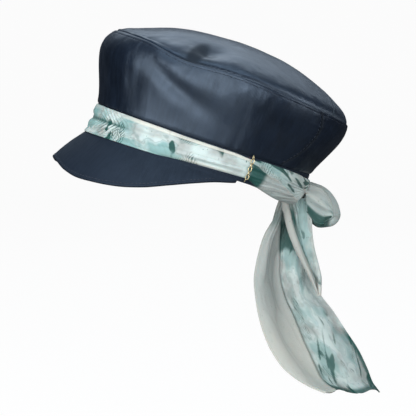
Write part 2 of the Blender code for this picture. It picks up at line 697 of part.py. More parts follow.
def build_tails(group, material):
    """The long tail and the short one in front of it."""
    long_grid = tail_grid(LONG_TAIL, TAIL_LENGTH, TAIL_WIDTH, TAIL_FOLD, LONG_TAIL_FOLDS,
                          TAIL_SLANT, LONG_TAIL_ASIDE, TAIL_STEPS, TAIL_COLUMNS)
    short_grid = tail_grid(SHORT_TAIL, SHORT_TAIL_LENGTH, SHORT_TAIL_WIDTH, SHORT_TAIL_FOLD,
                           SHORT_TAIL_FOLDS, 0.0, SHORT_TAIL_ASIDE, TAIL_STEPS // 2,
                           SHORT_TAIL_COLUMNS)
    cloth_sheet("scarf_tail_long", long_grid, SCARF_CLOTH, group, material)
    cloth_sheet("scarf_tail_short", short_grid, SCARF_CLOTH, group, material)


def main():
    """Build every piece of the cap."""
    clear_scene()
    group = collection(COLLECTION)
    cutters = collection("cutters")
    navy = finish_of("navy_satin", NAVY_CLOTH)
    print_cloth = finish_of("scarf_print", PRINTED_CHIFFON)
    gold = finish_of("chain_gold", GOLD_CHAIN)
    tilt = bpy.data.objects.new("cap_tilt", None)
    group.objects.link(tilt)
    tilt.rotation_euler.x = math.radians(-TILT_BACK)
    build_head_band(group, navy, tilt)
    build_crown_wall(group, navy, tilt)
    build_crown_top(group, navy, tilt)
    build_peak(group, navy, tilt)
    build_wound_scarf(group, print_cloth, tilt)
    build_chain("chain_left", 1, group, cutters, gold, tilt)
    build_chain("chain_right", -1, group, cutters, gold, tilt)
    build_knot(group, print_cloth, tilt)
    build_loop(group, print_cloth)
    build_tails(group, print_cloth)
    bpy.context.view_layer.update()


main()
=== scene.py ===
"""Dressed scene of a soft sailor cap with a scarf wound round its band and knotted behind.

Each sub-assembly is a class that repeats the part's own shape formulas, lays finer cloth over them
and takes the place of the plain solids. A turn is an angle round the cap: 0 at the front and 90
degrees at the wearer's left. An out is a distance outwards from the head opening's oval. Shapes of
the cap are computed level and then tipped back as the cap is worn; the scarf's ends hang plumb.
"""
from __future__ import annotations

import logging
import math
from dataclasses import dataclass, field
from enum import Enum
from typing import NamedTuple, Sequence

import bmesh
import bpy
import numpy as np
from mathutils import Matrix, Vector

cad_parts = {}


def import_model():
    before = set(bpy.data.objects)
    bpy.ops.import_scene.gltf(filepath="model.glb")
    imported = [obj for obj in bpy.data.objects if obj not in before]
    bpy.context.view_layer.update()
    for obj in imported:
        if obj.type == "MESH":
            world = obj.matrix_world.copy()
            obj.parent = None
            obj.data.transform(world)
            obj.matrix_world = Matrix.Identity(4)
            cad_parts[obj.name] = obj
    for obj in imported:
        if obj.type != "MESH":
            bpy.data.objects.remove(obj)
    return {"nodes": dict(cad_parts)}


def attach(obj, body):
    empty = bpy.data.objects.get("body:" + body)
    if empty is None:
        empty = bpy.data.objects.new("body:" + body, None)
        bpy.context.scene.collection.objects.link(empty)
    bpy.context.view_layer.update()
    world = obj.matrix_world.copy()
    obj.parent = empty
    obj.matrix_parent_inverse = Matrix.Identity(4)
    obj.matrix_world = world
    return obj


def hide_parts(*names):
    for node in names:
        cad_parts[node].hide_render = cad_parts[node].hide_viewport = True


LOG = logging.getLogger("scene")
TWO_PI = 2 * math.pi
Array = np.ndarray


class Slot(Enum):
    """The record's material slots."""

    NAVY = "navy_satin"
    PRINT = "scarf_print"
    GOLD = "chain_gold"


class Curve(NamedTuple):
    """A smooth curve through a few places and their values that never swings past them."""

    at: tuple[float, ...]
    values: tuple[float, ...]

    def __call__(self, places: Array) -> Array:
        """The curve's values, by cubic steps with harmonic slopes.

        Args:
            places: Where the values are wanted; held inside the curve's own range.

        Returns:
            The values at those places.
        """
        at, values = np.array(self.at), np.array(self.values)
        chords = np.diff(values) / np.diff(at)
        before, after = chords[:-1], chords[1:]
        same_way = before * after > 0
        joint = np.where(same_way, before + after, 1.0)
        middle = np.where(same_way, 2 * before * after / joint, 0.0)
        slopes = np.concatenate([chords[:1], middle, chords[-1:]])
        places = np.clip(np.asarray(places, float), at[0], at[-1])
        low = np.clip(np.searchsorted(at, places, side="right") - 1, 0, len(at) - 2)
        step = at[low + 1] - at[low]
        u = (places - at[low]) / step
        start = (2 * u**3 - 3 * u**2 + 1) * values[low]
        start = start + (u**3 - 2 * u**2 + u) * step * slopes[low]
        end = (3 * u**2 - 2 * u**3) * values[low + 1] + (u**3 - u**2) * step * slopes[low + 1]
        return start + end


@dataclass(frozen=True)
class SoftNoise:
    """Smooth seeded noise between -1 and 1 on a lattice, joined end to end along its first axis."""

    seed: int
    cells: tuple[int, int]

    def __call__(self, u: Array, v: Array) -> Array:
        """Noise by smooth steps between lattice values; u and v run from 0 to 1 over the cells."""
        values = np.random.default_rng(self.seed).uniform(-1, 1, self.cells)
        u, v = np.broadcast_arrays(np.asarray(u, float), np.asarray(v, float))
        u, v = (u % 1.0) * self.cells[0], np.clip(v, 0, 1) * (self.cells[1] - 1)
        i, j = np.floor(u).astype(int), np.minimum(np.floor(v).astype(int), self.cells[1] - 2)
        fu, fv = u - i, v - j
        fu, fv = fu * fu * (3 - 2 * fu), fv * fv * (3 - 2 * fv)
        i0, i1 = i % self.cells[0], (i + 1) % self.cells[0]
        low = values[i0, j] * (1 - fu) + values[i1, j] * fu
        high = values[i0, j + 1] * (1 - fu) + values[i1, j + 1] * fu
        return low * (1 - fv) + high * fv


def smooth_step(value: Array, low: float, high: float) -> Array:
    """0 below low, 1 above high and a smooth rise between."""
    u = np.clip((value - low) / (high - low), 0, 1)
    return u * u * (3 - 2 * u)


def bell(value: Array, centre: float | Array, half: float) -> Array:
    """A bell of height 1 round a centre, with this half-breadth."""
    return np.exp(-(((value - centre) / half) ** 2))


def paired(first: Array, second: Array) -> Array:
    """Two coordinates over one grid, side by side in a last axis."""
    return np.stack(np.broadcast_arrays(first, second), axis=-1)


def path_run(path: Array) -> Array:
    """How far along a path each of its points is."""
    steps = np.linalg.norm(np.diff(path, axis=0), axis=1)
    return np.concatenate([[0.0], np.cumsum(steps)])


def on_path(values: Array, run: Array, where: Array) -> Array:
    """A path's points, or directions kept along it, at these distances along it."""
    return np.stack([np.interp(where, run, values[:, axis]) for axis in range(3)], axis=-1)


class Hollow(NamedTuple):
    """A soft hollow in the crown wall, as the part's source states it."""

    turn: float
    height: float
    depth: float
    half_length: float
    half_breadth: float
    slant: float


class TopHollow(NamedTuple):
    """A soft hollow in the crown's top, as the part's source states it."""

    turn: float
    reach: float
    depth: float
    half_breadth: float


@dataclass(frozen=True)
class CapShape:
    """The level cap's own form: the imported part's formulas, with a crisper rim on the top."""

    tilt_back: float = 19.0
    half_length: float = 0.100
    half_width: float = 0.083
    band_wall: float = 0.002
    band_height: float = 0.024
    crown_step: float = 0.001
    crown_height: float = 0.062
    crown_overhang: float = 0.0125
    crown_belly: float = 0.0106
    top_rise: float = 0.0296
    top_centre_back: float = 0.004
    seam_gap: float = 0.0003
    belly_lowness: float = 1.97
    belly_fullness: float = 0.8
    rim_heights: tuple[float, float, float] = (1.085, 1.000, 0.858)
    overhangs: tuple[float, float, float] = (0.28, 1.00, 1.30)
    bellies: tuple[float, float, float] = (1.00, 0.48, 0.47)
    rim_sags: tuple[tuple[float, float, float], ...] = ((61.0, 0.080, 16.0), (-68.0, 0.045, 22.0))
    top_soft_share: float = 0.86
    top_soft_power: float = 2.2
    top_edge_power: float = 30.0
    top_seam_turn: float = 140.3
    back_seam: Curve = Curve((0.0, 0.2, 0.4, 0.6, 0.8, 1.0),
                             (125.0, 130.5, 133.8, 134.9, 133.6, 130.5))
    wall_hollows: tuple[Hollow, ...] = (
        Hollow(57.0, 0.64, 0.50, 0.62, 0.13, -22.0),
        Hollow(40.0, 0.40, 0.12, 0.35, 0.20, 70.0),
        Hollow(62.5, 0.88, 0.20, 0.10, 0.06, 80.0),
        Hollow(78.5, 0.86, 0.20, 0.14, 0.07, -60.0),
        Hollow(112.0, 0.55, 0.14, 0.45, 0.20, -20.0),
        Hollow(-52.0, 0.55, 0.30, 0.55, 0.16, 24.0),
        Hollow(-96.0, 0.60, 0.16, 0.45, 0.20, 20.0),
    )
    top_hollows: tuple[TopHollow, ...] = (
        TopHollow(64.0, 0.83, 0.15, 0.14),
        TopHollow(61.0, 0.86, 0.12, 0.08),
        TopHollow(39.0, 0.86, 0.07, 0.12),
        TopHollow(-64.0, 0.80, 0.10, 0.17),
    )

    def oval(self, turn: Array, out: Array, height: Array) -> Array:
        """Points at a turn, this far out from the head opening's oval and this high."""
        turn, out, height = np.broadcast_arrays(turn, out, height)
        normal_x, normal_y = self.half_length * np.sin(turn), -self.half_width * np.cos(turn)
        size = np.hypot(normal_x, normal_y)
        x = self.half_width * np.sin(turn) + out * normal_x / size
        y = -self.half_length * np.cos(turn) + out * normal_y / size
        return np.stack([x, y, height], axis=-1)

    def outward(self, turn: Array | float) -> Array:
        """The level direction straight out of the oval at a turn, of length 1."""
        return self.oval(turn, 1.0, 0.0) - self.oval(turn, 0.0, 0.0)

    def station(self, shares: tuple[float, float, float], turn: Array) -> Array:
        """A share that runs smoothly from the front over the side to the back."""
        front, side, back = shares
        c = np.cos(turn)
        return side + (front - back) / 2 * c + ((front + back) / 2 - side) * c * c

    @staticmethod
    def apart(turn: Array, degrees: float) -> Array:
        """The signed turn from a place given in degrees to each point, in radians."""
        return (turn - math.radians(degrees) + math.pi) % TWO_PI - math.pi

    def rim_rise(self, turn: Array) -> Array:
        """How far the rim stands above the wall's foot."""
        rise = self.crown_height * self.station(self.rim_heights, turn)
        for place, depth, half in self.rim_sags:
            off = self.apart(turn, place) / math.radians(half)
            rise = rise - self.crown_height * depth * np.exp(-off**2)
        return rise

    def wall_out(self, turn: Array, share: Array) -> Array:
        """How far out the crown wall's face is: foot, lean and belly, less its hollows."""
        lean = self.crown_overhang * self.station(self.overhangs, turn) * share
        power = np.clip(share, 0, 1) ** self.belly_lowness
        fullness = np.clip(np.sin(math.pi * power), 0, 1) ** self.belly_fullness
        belly = self.crown_belly * self.station(self.bellies, turn) * fullness
        hollow = np.zeros_like(belly)
        for dent in self.wall_hollows:
            across = self.apart(turn, dent.turn) * self.half_length / self.crown_height
            up = share - dent.height
            cosine, sine = math.cos(math.radians(dent.slant)), math.sin(math.radians(dent.slant))
            run = (across * cosine + up * sine) / dent.half_length
            off = (up * cosine - across * sine) / dent.half_breadth
            hollow = hollow + dent.depth * np.exp(-run**2 - off**2)
        fade = np.clip(4 * share * (1 - share), 0, 1)
        return self.band_wall + self.crown_step + lean + belly - self.crown_belly * hollow * fade

    def wall_point(self, turn: Array, share: Array, proud: Array | float = 0.0) -> Array:
        """A point on the crown wall, or this far in front of it."""
        foot = self.band_height + self.seam_gap
        return self.oval(turn, self.wall_out(turn, share) + proud,
                         foot + share * self.rim_rise(turn))

    def top_height(self, x: Array, y: Array) -> tuple[Array, Array, Array]:
        """The domed top over points of the plan.

        Returns:
            The height, the share of the way from the middle out to the rim, and that way's length.
        """
        around = np.radians(np.linspace(-180.0, 180.0, 721))
        rim = self.wall_point(around, np.ones_like(around))
        rim_angle = np.arctan2(rim[:, 0], -(rim[:, 1] - self.top_centre_back))
        angle = np.arctan2(x, -(y - self.top_centre_back))
        order = np.argsort(rim_angle)
        reach = np.hypot(rim[:, 0], rim[:, 1] - self.top_centre_back)
        rim_reach = np.interp(angle, rim_angle[order], reach[order], period=TWO_PI)
        rim_height = np.interp(angle, rim_angle[order], rim[order, 2], period=TWO_PI)
        share = np.clip(np.hypot(x, y - self.top_centre_back) / rim_reach, 0, 1)
        crown = self.band_height + self.crown_height + self.top_rise
        drop = self.top_soft_share * share**self.top_soft_power
        drop = drop + (1 - self.top_soft_share) * share**self.top_edge_power
        hollow = np.zeros_like(share)
        for dent in self.top_hollows:
            turn = math.radians(dent.turn)
            centre = dent.reach * np.interp(turn, rim_angle[order], reach[order])
            off_x = x - centre * math.sin(turn)
            off_y = y - self.top_centre_back + centre * math.cos(turn)
            off = np.hypot(off_x, off_y) / (dent.half_breadth * self.half_length)
            hollow = hollow + dent.depth * self.top_rise * np.exp(-off**2)
        fade = np.clip(4 * (1 - share), 0, 1)
        height = crown - (crown - rim_height) * drop - hollow * fade + self.seam_gap
        return height, share, rim_reach

    def worn(self, points: Array) -> Array:
        """Where points of the level cap are when it is worn, tipped back about X."""
        tilt = math.radians(self.tilt_back)
        cosine, sine = math.cos(tilt), math.sin(tilt)
        x, y, z = points[..., 0], points[..., 1], points[..., 2]
        return np.stack([x, y * cosine + z * sine, z * cosine - y * sine], axis=-1)


@dataclass
class Surface:
    """A grid of points, rows first, with its place on the cloth in metres and named marks."""

    points: Array
    cloth: Array
    marks: dict[str, Array] = field(default_factory=dict)

    def normals(self) -> Array:
        """Unit normals by the cross product of the grid's two directions."""
        rows, columns = np.gradient(self.points, axis=0), np.gradient(self.points, axis=1)
        normal = np.cross(columns, rows)
        size = np.linalg.norm(normal, axis=-1, keepdims=True)
        normal = normal / np.maximum(size, 1e-15)
        for edge, beside in ((0, 1), (-1, -2)):
            normal[edge] = np.where(size[edge] < 1e-12, normal[beside], normal[edge])
            thin = size[:, edge] < 1e-12
            normal[:, edge] = np.where(thin, normal[:, beside], normal[:, edge])
        return normal

    def moved(self, distance: Array | float) -> Array:
        """The grid's points moved along their normals."""
        return self.points + self.normals() * np.broadcast_to(
            np.asarray(distance, float)[..., None] if np.ndim(distance) else distance,
            self.points.shape[:-1] + (1,))


def grid_quads(rows: int, columns: int, first: int = 0, flip: bool = False) -> Array:
    """Quads of a grid of points numbered row by row from first."""
    number = first + np.arange(rows * columns).reshape(rows, columns)
    a, b = number[:-1, :-1], number[:-1, 1:]
    c, d = number[1:, 1:], number[1:, :-1]
    corners = (d, c, b, a) if flip else (a, b, c, d)
    return np.stack(corners, axis=-1).reshape(-1, 4)


def strip_quads(line_a: Array, line_b: Array) -> Array:
    """Quads between two lines of point numbers."""
    return np.stack([line_a[:-1], line_b[:-1], line_b[1:], line_a[1:]], axis=-1)


class Tailor:
    """Makes Blender objects out of computed surfaces and hands them to the frame."""

    def __init__(self) -> None:
        """Start with no piece made."""
        self.made: list[bpy.types.Object] = []

    def mesh(self, name: str, points: Array, quads: Array, cloth: Array,
             marks: dict[str, Array], inner: Array) -> bpy.types.Mesh:
        """A mesh with its cloth coordinates and marks, its doubles merged.

        Args:
            name: The mesh's name.
            points: One row of x, y and z for each point.
            quads: Four point numbers for each face.
            cloth: Each point's place on the cloth.
            marks: Named values, one for each point.
            inner: The material number of each face.

        Returns:
            The new mesh.
        """
        mesh = bpy.data.meshes.new(name)
        mesh.from_pydata(points.tolist(), [], quads.tolist())
        layer = mesh.uv_layers.new(name="cloth")
        layer.data.foreach_set("uv", cloth[quads.ravel()].astype(np.float32).ravel())
        mesh.polygons.foreach_set("material_index", inner.astype(np.int32))
        for mark, values in marks.items():
            attribute = mesh.attributes.new(mark, "FLOAT", "POINT")
            attribute.data.foreach_set("value", values.astype(np.float32))
        work = bmesh.new()
        work.from_mesh(mesh)
        bmesh.ops.remove_doubles(work, verts=work.verts, dist=1e-6)
        bmesh.ops.dissolve_degenerate(work, edges=work.edges, dist=1e-6)
        work.to_mesh(mesh)
        work.free()
        mesh.shade_smooth()
        mesh.set_sharp_from_angle(angle=math.radians(50))
        return mesh

    def piece(self, name: str, mesh: bpy.types.Mesh, slot: Slot,
              materials: Sequence[bpy.types.Material],
              nodes: Sequence[str] = ()) -> bpy.types.Object:
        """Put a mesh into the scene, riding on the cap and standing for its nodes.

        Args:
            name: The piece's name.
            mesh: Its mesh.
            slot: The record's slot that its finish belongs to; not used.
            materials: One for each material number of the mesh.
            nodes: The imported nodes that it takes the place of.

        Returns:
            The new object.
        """
        thing = bpy.data.objects.new(name, mesh)
        bpy.context.scene.collection.objects.link(thing)
        for material in materials:
            mesh.materials.append(material)
        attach(thing, "root")
        if nodes:
            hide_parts(*nodes)
        self.made.append(thing)
        LOG.info("%s: %d faces", name, len(mesh.polygons))
        return thing

    def shell(self, name: str, face: Surface, back: Array, slot: Slot,
              materials: Sequence[bpy.types.Material], nodes: Sequence[str] = (),
              ring: bool = False) -> bpy.types.Object:
        """A closed cloth wall between a surface and the grid of points behind it.

        Args:
            name: The piece's name.
            face: Its outer surface, whose normals point outwards.
            back: The points of its inner face, one for each of the outer face.
            slot: The record's slot.
            materials: The outer face's material and the inner one's.
            nodes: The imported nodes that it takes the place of.
            ring: True where the first column and the last are the same points.

        Returns:
            The new object.
        """
        rows, columns = face.points.shape[:2]
        count = rows * columns
        number = np.arange(count).reshape(rows, columns)
        outer, inner = grid_quads(rows, columns), grid_quads(rows, columns, count, flip=True)
        rims = [strip_quads(number[0] + count, number[0]),
                strip_quads(number[-1], number[-1] + count)]
        if not ring:
            rims += [strip_quads(number[:, 0], number[:, 0] + count),
                     strip_quads(number[:, -1] + count, number[:, -1])]
        quads = np.concatenate([outer, inner] + rims)
        kind = np.zeros(len(quads), int)
        kind[len(outer):len(outer) + len(inner)] = 1
        points = np.concatenate([face.points.reshape(-1, 3), back.reshape(-1, 3)])
        cloth = np.concatenate([face.cloth.reshape(-1, 2)] * 2)
        marks = {mark: np.concatenate([values.ravel()] * 2) for mark, values in face.marks.items()}
        mesh = self.mesh(name, points, quads, cloth, marks, kind)
        return self.piece(name, mesh, slot, materials, nodes)


class NodeBench:
    """A small helper that lays out the shader nodes of one material."""

    def __init__(self, name: str, roughness: float, **constants: object) -> None:
        """Start a material with one Principled shader and its constant numbers."""
        self.material = bpy.data.materials.new(name)
        self.material.use_nodes = True
        self.tree = self.material.node_tree
        self.shader = self.tree.nodes["Principled BSDF"]
        self.shader.inputs["Roughness"].default_value = roughness
        for socket, value in constants.items():
            self.shader.inputs[socket.replace("_", " ")].default_value = value

    def node(self, kind: str, values: dict[str, object] | None = None, **settings: object):
        """A node of this kind with its settings and socket values."""
        node = self.tree.nodes.new(kind)
        for key, value in settings.items():
            setattr(node, key, value)
        for socket, value in (values or {}).items():
            self.plug(node.inputs[socket], value)
        return node

    def plug(self, socket, value: object) -> None:
        """Link an output to a socket, or set the socket's own value."""
        if isinstance(value, bpy.types.NodeSocket):
            self.tree.links.new(value, socket)
        else:
            socket.default_value = value

    def cloth(self, scale: tuple[float, float] = (1.0, 1.0),
              shift: tuple[float, float] = (0.0, 0.0)):
        """The cloth's own coordinates in metres, times a scale and shifted."""
        source = self.node("ShaderNodeUVMap", uv_map="cloth").outputs["UV"]
        place = self.node("ShaderNodeMapping", {"Vector": source})
        place.inputs["Scale"].default_value = (scale[0], scale[1], 1.0)
        place.inputs["Location"].default_value = (shift[0], shift[1], 0.0)
        return place.outputs["Vector"]

    def noise(self, vector, scale: float, detail: float = 3.0, rough: float = 0.5,
              distortion: float = 0.0):
        """Fractal noise between 0 and 1."""
        values = {"Vector": vector, "Scale": scale, "Detail": detail, "Roughness": rough,
                  "Distortion": distortion}
        return self.node("ShaderNodeTexNoise", values).outputs["Fac"]

    def waves(self, vector, scale: float, distortion: float = 0.0, detail_scale: float = 1.0):
        """Stripes across the first axis, between 0 and 1."""
        values = {"Vector": vector, "Scale": scale, "Distortion": distortion, "Detail": 2.0,
                  "Detail Scale": detail_scale}
        return self.node("ShaderNodeTexWave", values, bands_direction="X").outputs["Fac"]

    def cells(self, vector, scale: float):
        """The distance to scattered cell centres."""
        values = {"Vector": vector, "Scale": scale, "Randomness": 1.0}
        return self.node("ShaderNodeTexVoronoi", values, feature="F1").outputs["Distance"]

    def ramp(self, factor, low: float, high: float, start: float = 0.0, end: float = 1.0):
        """A smooth rise of the factor from low to high."""
        values = {"Value": factor, "From Min": low, "From Max": high, "To Min": start,
                  "To Max": end}
        node = self.node("ShaderNodeMapRange", values, interpolation_type="SMOOTHSTEP")
        return node.outputs["Result"]

    def maths(self, operation: str, first, second):
        """One step of arithmetic."""
        node = self.node("ShaderNodeMath", operation=operation)
        self.plug(node.inputs[0], first)
        self.plug(node.inputs[1], second)
        return node.outputs["Value"]

    def times(self, first, second):
        """The product of two values."""
        return self.maths("MULTIPLY", first, second)

    def plus(self, first, second):
        """The sum of two values."""
        return self.maths("ADD", first, second)

    def mark(self, name: str):
        """A named mark of the mesh."""
        return self.node("ShaderNodeAttribute", attribute_name=name).outputs["Fac"]

    def mixed(self, factor, first, second):
        """Two colours mixed."""
        node = self.node("ShaderNodeMix", data_type="RGBA")
        self.plug(node.inputs[0], factor)
        self.plug(node.inputs[6], first if isinstance(first, bpy.types.NodeSocket) else (*first, 1))
        self.plug(node.inputs[7], second if isinstance(second, bpy.types.NodeSocket)
                  else (*second, 1))
        return node.outputs[2]

    def finish(self, colour, height=None, strength: float = 0.3, distance: float = 0.0004,
               roughness=None) -> bpy.types.Material:
        """Wire the colour, the bump and the roughness into the shader."""
        self.plug(self.shader.inputs["Base Color"], colour)
        if height is not None:
            values = {"Height": height, "Strength": strength, "Distance": distance}
            bump = self.node("ShaderNodeBump", values)
            self.tree.links.new(bump.outputs["Normal"], self.shader.inputs["Normal"])
        if roughness is not None:
            self.plug(self.shader.inputs["Roughness"], roughness)
        return self.material


@dataclass(frozen=True)
class NavyCloth:
    """Dark navy cloth: sateen on the crown, duller on the peak, the band and the wrong side."""

    name: str
    dark: tuple[float, float, float] = (0.0018, 0.0032, 0.0066)
    light: tuple[float, float, float] = (0.0055, 0.0090, 0.0165)
    roughness: tuple[float, float] = (0.36, 0.47)
    specular: float = 0.60
    tint: tuple[float, float, float] = (0.62, 0.79, 1.0)
    sheen: float = 0.02
    sheen_tint: tuple[float, float, float] = (0.42, 0.52, 0.68)
    thread: float = 1 / 0.00055
    grain: float = 0.35
    stretch: float = 0.80
    # The near-black colour of the painted shade in seams and dimples.
    painted_shade_colour: tuple[float, float, float] = (0.0012, 0.0018, 0.0032)

    def make(self) -> bpy.types.Material:
        """The material: fine threads up the cloth, soft streaks and blotches of shade.

        The gloss is stretched up the cloth, as on a sateen, whose threads scatter light that way.
        The crease mark is painted shade: it takes both gloss and colour out of seams and sharp
        dimples, darkening them to a near-black colour.
        """
        bench = NodeBench(self.name, self.roughness[0], Specular_IOR_Level=self.specular,
                          Specular_Tint=(*self.tint, 1.0), Sheen_Weight=self.sheen,
                          Sheen_Roughness=0.45, Sheen_Tint=(*self.sheen_tint, 1.0),
                          Anisotropic=self.stretch, Anisotropic_Rotation=0.25)
        tangent = bench.node("ShaderNodeTangent", direction_type="UV_MAP", uv_map="cloth")
        bench.plug(bench.shader.inputs["Tangent"], tangent.outputs["Tangent"])
        upright = bench.cloth((1.0, 0.16))
        plain = bench.cloth()
        streaks = bench.noise(upright, 420.0, 4.0, 0.6)
        blotches = bench.noise(plain, 38.0, 3.0, 0.55, 0.6)
        threads = bench.waves(bench.cloth((1.0, 0.25)), self.thread / TWO_PI, 1.6, 3.0)
        slubs = bench.noise(bench.cloth((1.0, 4.0)), 700.0, 2.0, 0.6)
        shade = bench.plus(bench.times(streaks, 0.55), bench.times(blotches, 0.45))
        colour = bench.mixed(bench.ramp(shade, 0.35, 0.68), self.dark, self.light)
        height = bench.plus(bench.times(threads, 0.35), bench.times(slubs, 0.65))
        height = bench.plus(height, bench.times(streaks, 1.2))
        rough = bench.ramp(shade, 0.30, 0.70, self.roughness[1], self.roughness[0])
        # Painted shade in seams and dimples: near-black colour and no gloss.
        crease_painted_dark = bench.mark("crease_painted_dark")
        rough = bench.maths("MAXIMUM", rough, bench.times(crease_painted_dark, 0.95))
        colour = bench.mixed(crease_painted_dark, colour, self.painted_shade_colour)
        return bench.finish(colour, height, self.grain, 0.00025, rough)


@dataclass(frozen=True)
class Ribbon:
    """The ribbed ribbon that lines the band, and the tape that binds the inner seams."""

    name: str
    dark: tuple[float, float, float] = (0.010, 0.012, 0.018)
    light: tuple[float, float, float] = (0.026, 0.031, 0.043)
    ribs: float = 900.0

    def make(self) -> bpy.types.Material:
        """The material: fine upright ribs, slightly worn."""
        bench = NodeBench(self.name, 0.62, Specular_IOR_Level=0.35, Sheen_Weight=0.15)
        ribs = bench.waves(bench.cloth(), self.ribs / TWO_PI, 0.4, 2.0)
        worn = bench.noise(bench.cloth(), 60.0, 4.0, 0.6)
        colour = bench.mixed(bench.ramp(worn, 0.35, 0.7), self.dark, self.light)
        return bench.finish(colour, ribs, 0.5, 0.0003)


@dataclass(frozen=True)
class Thread:
    """Twisted sewing thread."""

    name: str
    colour: tuple[float, float, float] = (0.012, 0.017, 0.028)

    def make(self) -> bpy.types.Material:
        """The material: a soft sheen with the thread's own twist."""
        bench = NodeBench(self.name, 0.55, Specular_IOR_Level=0.3)
        twist = bench.noise(bench.cloth(), 1500.0, 2.0)
        colour = bench.mixed(twist, tuple(0.7 * c for c in self.colour), self.colour)
        return bench.finish(colour, twist, 0.4, 0.0001)


@dataclass(frozen=True)
class Chiffon:
    """Thin printed scarf cloth in a design of its own: washes, dabs, specks and hatch strokes."""

    name: str
    pale: tuple[float, float, float] = (0.330, 0.390, 0.378)
    grey: tuple[float, float, float] = (0.222, 0.242, 0.232)
    teal: tuple[float, float, float] = (0.088, 0.198, 0.194)
    green: tuple[float, float, float] = (0.003, 0.040, 0.034)
    cream: tuple[float, float, float] = (0.425, 0.415, 0.365)
    roughness: float = 0.62
    thread: float = 1 / 0.0006
    shift: tuple[float, float] = (0.0, 0.0)
    draw: tuple[float, float, float] = (0.45, 1.0, 1.0)

    def make(self) -> bpy.types.Material:
        """The material.

        A pale ground drifts to grey. Over it lie soft teal washes with darker outlines, stretched
        dabs of dark green, hatch strokes in patches and fine specks, as far as the mesh's ink mark
        allows. Hems turn cream by the hem mark, which on the loop's sides paints a highlight along
        the ridge instead. The shade mark paints shade into deep folds, creases and grooves, and
        also carries dark print such as washes, leaf marks and blotches.
        """
        bench = NodeBench(self.name, self.roughness, Specular_IOR_Level=0.25, Sheen_Weight=0.10,
                          Sheen_Roughness=0.4, Sheen_Tint=(0.9, 1.0, 0.96, 1.0),
                          Subsurface_Weight=0.06, Subsurface_Scale=0.002)
        plain = bench.cloth((1, 1), self.shift)
        warp = bench.node("ShaderNodeTexNoise", {"Vector": plain, "Scale": 55.0, "Detail": 3.0})
        bent = bench.node("ShaderNodeVectorMath", operation="MULTIPLY_ADD")
        bench.tree.links.new(warp.outputs["Color"], bent.inputs[0])
        bent.inputs[1].default_value = (0.014, 0.014, 0.014)
        bench.tree.links.new(plain, bent.inputs[2])
        wavy = bent.outputs["Vector"]
        ground = bench.mixed(bench.ramp(bench.noise(plain, 42.0, 3.0), 0.42, 0.66), self.pale,
                             self.grey)
        ink = bench.mark("ink")
        ground = bench.mixed(bench.ramp(ink, 0.0, 0.5), self.grey, ground)
        drawn = bench.node("ShaderNodeMapping", {"Vector": wavy})
        drawn.inputs["Scale"].default_value = self.draw
        wash_field = bench.noise(drawn.outputs["Vector"], 62.0, 2.0, 0.45)
        washes = bench.ramp(wash_field, 0.46, 0.62)
        outline = bench.times(bench.ramp(wash_field, 0.475, 0.495),
                              bench.ramp(wash_field, 0.525, 0.505))
        colour = bench.mixed(bench.times(washes, bench.times(ink, 0.78)), ground, self.teal)
        colour = bench.mixed(bench.times(outline, bench.times(ink, 0.22)), colour, self.green)
        slant = bench.node("ShaderNodeMapping", {"Vector": wavy})
        slant.inputs["Rotation"].default_value = (0.0, 0.0, math.radians(28))
        slant.inputs["Scale"].default_value = (1.0, 0.36, 1.0)
        dabs = bench.ramp(bench.cells(slant.outputs["Vector"], 88.0), 0.34, 0.25)
        dab_place = bench.ramp(bench.noise(plain, 30.0, 2.0), 0.50, 0.56)
        dabs = bench.times(dabs, bench.times(dab_place, ink))
        colour = bench.mixed(dabs, colour, self.green)
        hatch_place = bench.ramp(bench.noise(plain, 26.0, 2.0, 0.5, 0.4), 0.55, 0.60)
        hatch = bench.ramp(bench.waves(slant.outputs["Vector"], 190.0, 3.0, 2.0), 0.62, 0.78)
        hatch = bench.times(hatch, bench.times(hatch_place, ink))
        colour = bench.mixed(bench.times(hatch, 0.85), colour, self.green)
        specks = bench.ramp(bench.cells(plain, 300.0), 0.17, 0.10)
        speck_place = bench.ramp(bench.noise(plain, 90.0, 2.0), 0.48, 0.56)
        specks = bench.times(specks, bench.times(speck_place, 0.55))
        colour = bench.mixed(specks, colour, self.green)
        # The hem mark turns hems cream and on the loop's sides paints a highlight; the shade mark
        # paints shade and dark print in dark green.
        colour = bench.mixed(bench.times(bench.mark("hem"), 0.7), colour, self.cream)
        colour = bench.mixed(bench.times(bench.mark("shade"), 0.98), colour, self.green)
        weave = bench.plus(bench.waves(plain, self.thread / TWO_PI, 1.0, 3.0),
                           bench.noise(bench.cloth((4.0, 1.0)), 900.0, 2.0))
        crinkle = bench.times(bench.noise(bench.cloth((0.25, 1.0)), 260.0, 4.0), 2.5)
        return bench.finish(colour, bench.plus(weave, crinkle), 0.35, 0.0003)


@dataclass(frozen=True)
class ChainMetal:
    """Pale gold plating on fine chain links."""

    name: str = "chain_gold_metal"
    bright: tuple[float, float, float] = (0.38, 0.33, 0.20)
    dull: tuple[float, float, float] = (0.20, 0.16, 0.09)

    def make(self) -> bpy.types.Material:
        """The material: bright metal with slightly dulled, brushed patches."""
        bench = NodeBench(self.name, 0.24, Metallic=1.0)
        place = bench.node("ShaderNodeTexCoord").outputs["Object"]
        dulled = bench.noise(place, 900.0, 3.0)
        colour = bench.mixed(bench.ramp(dulled, 0.45, 0.70), self.bright, self.dull)
        rough = bench.ramp(dulled, 0.3, 0.7, 0.18, 0.36)
        return bench.finish(colour, bench.noise(place, 2500.0, 2.0), 0.15, 0.0001, rough)


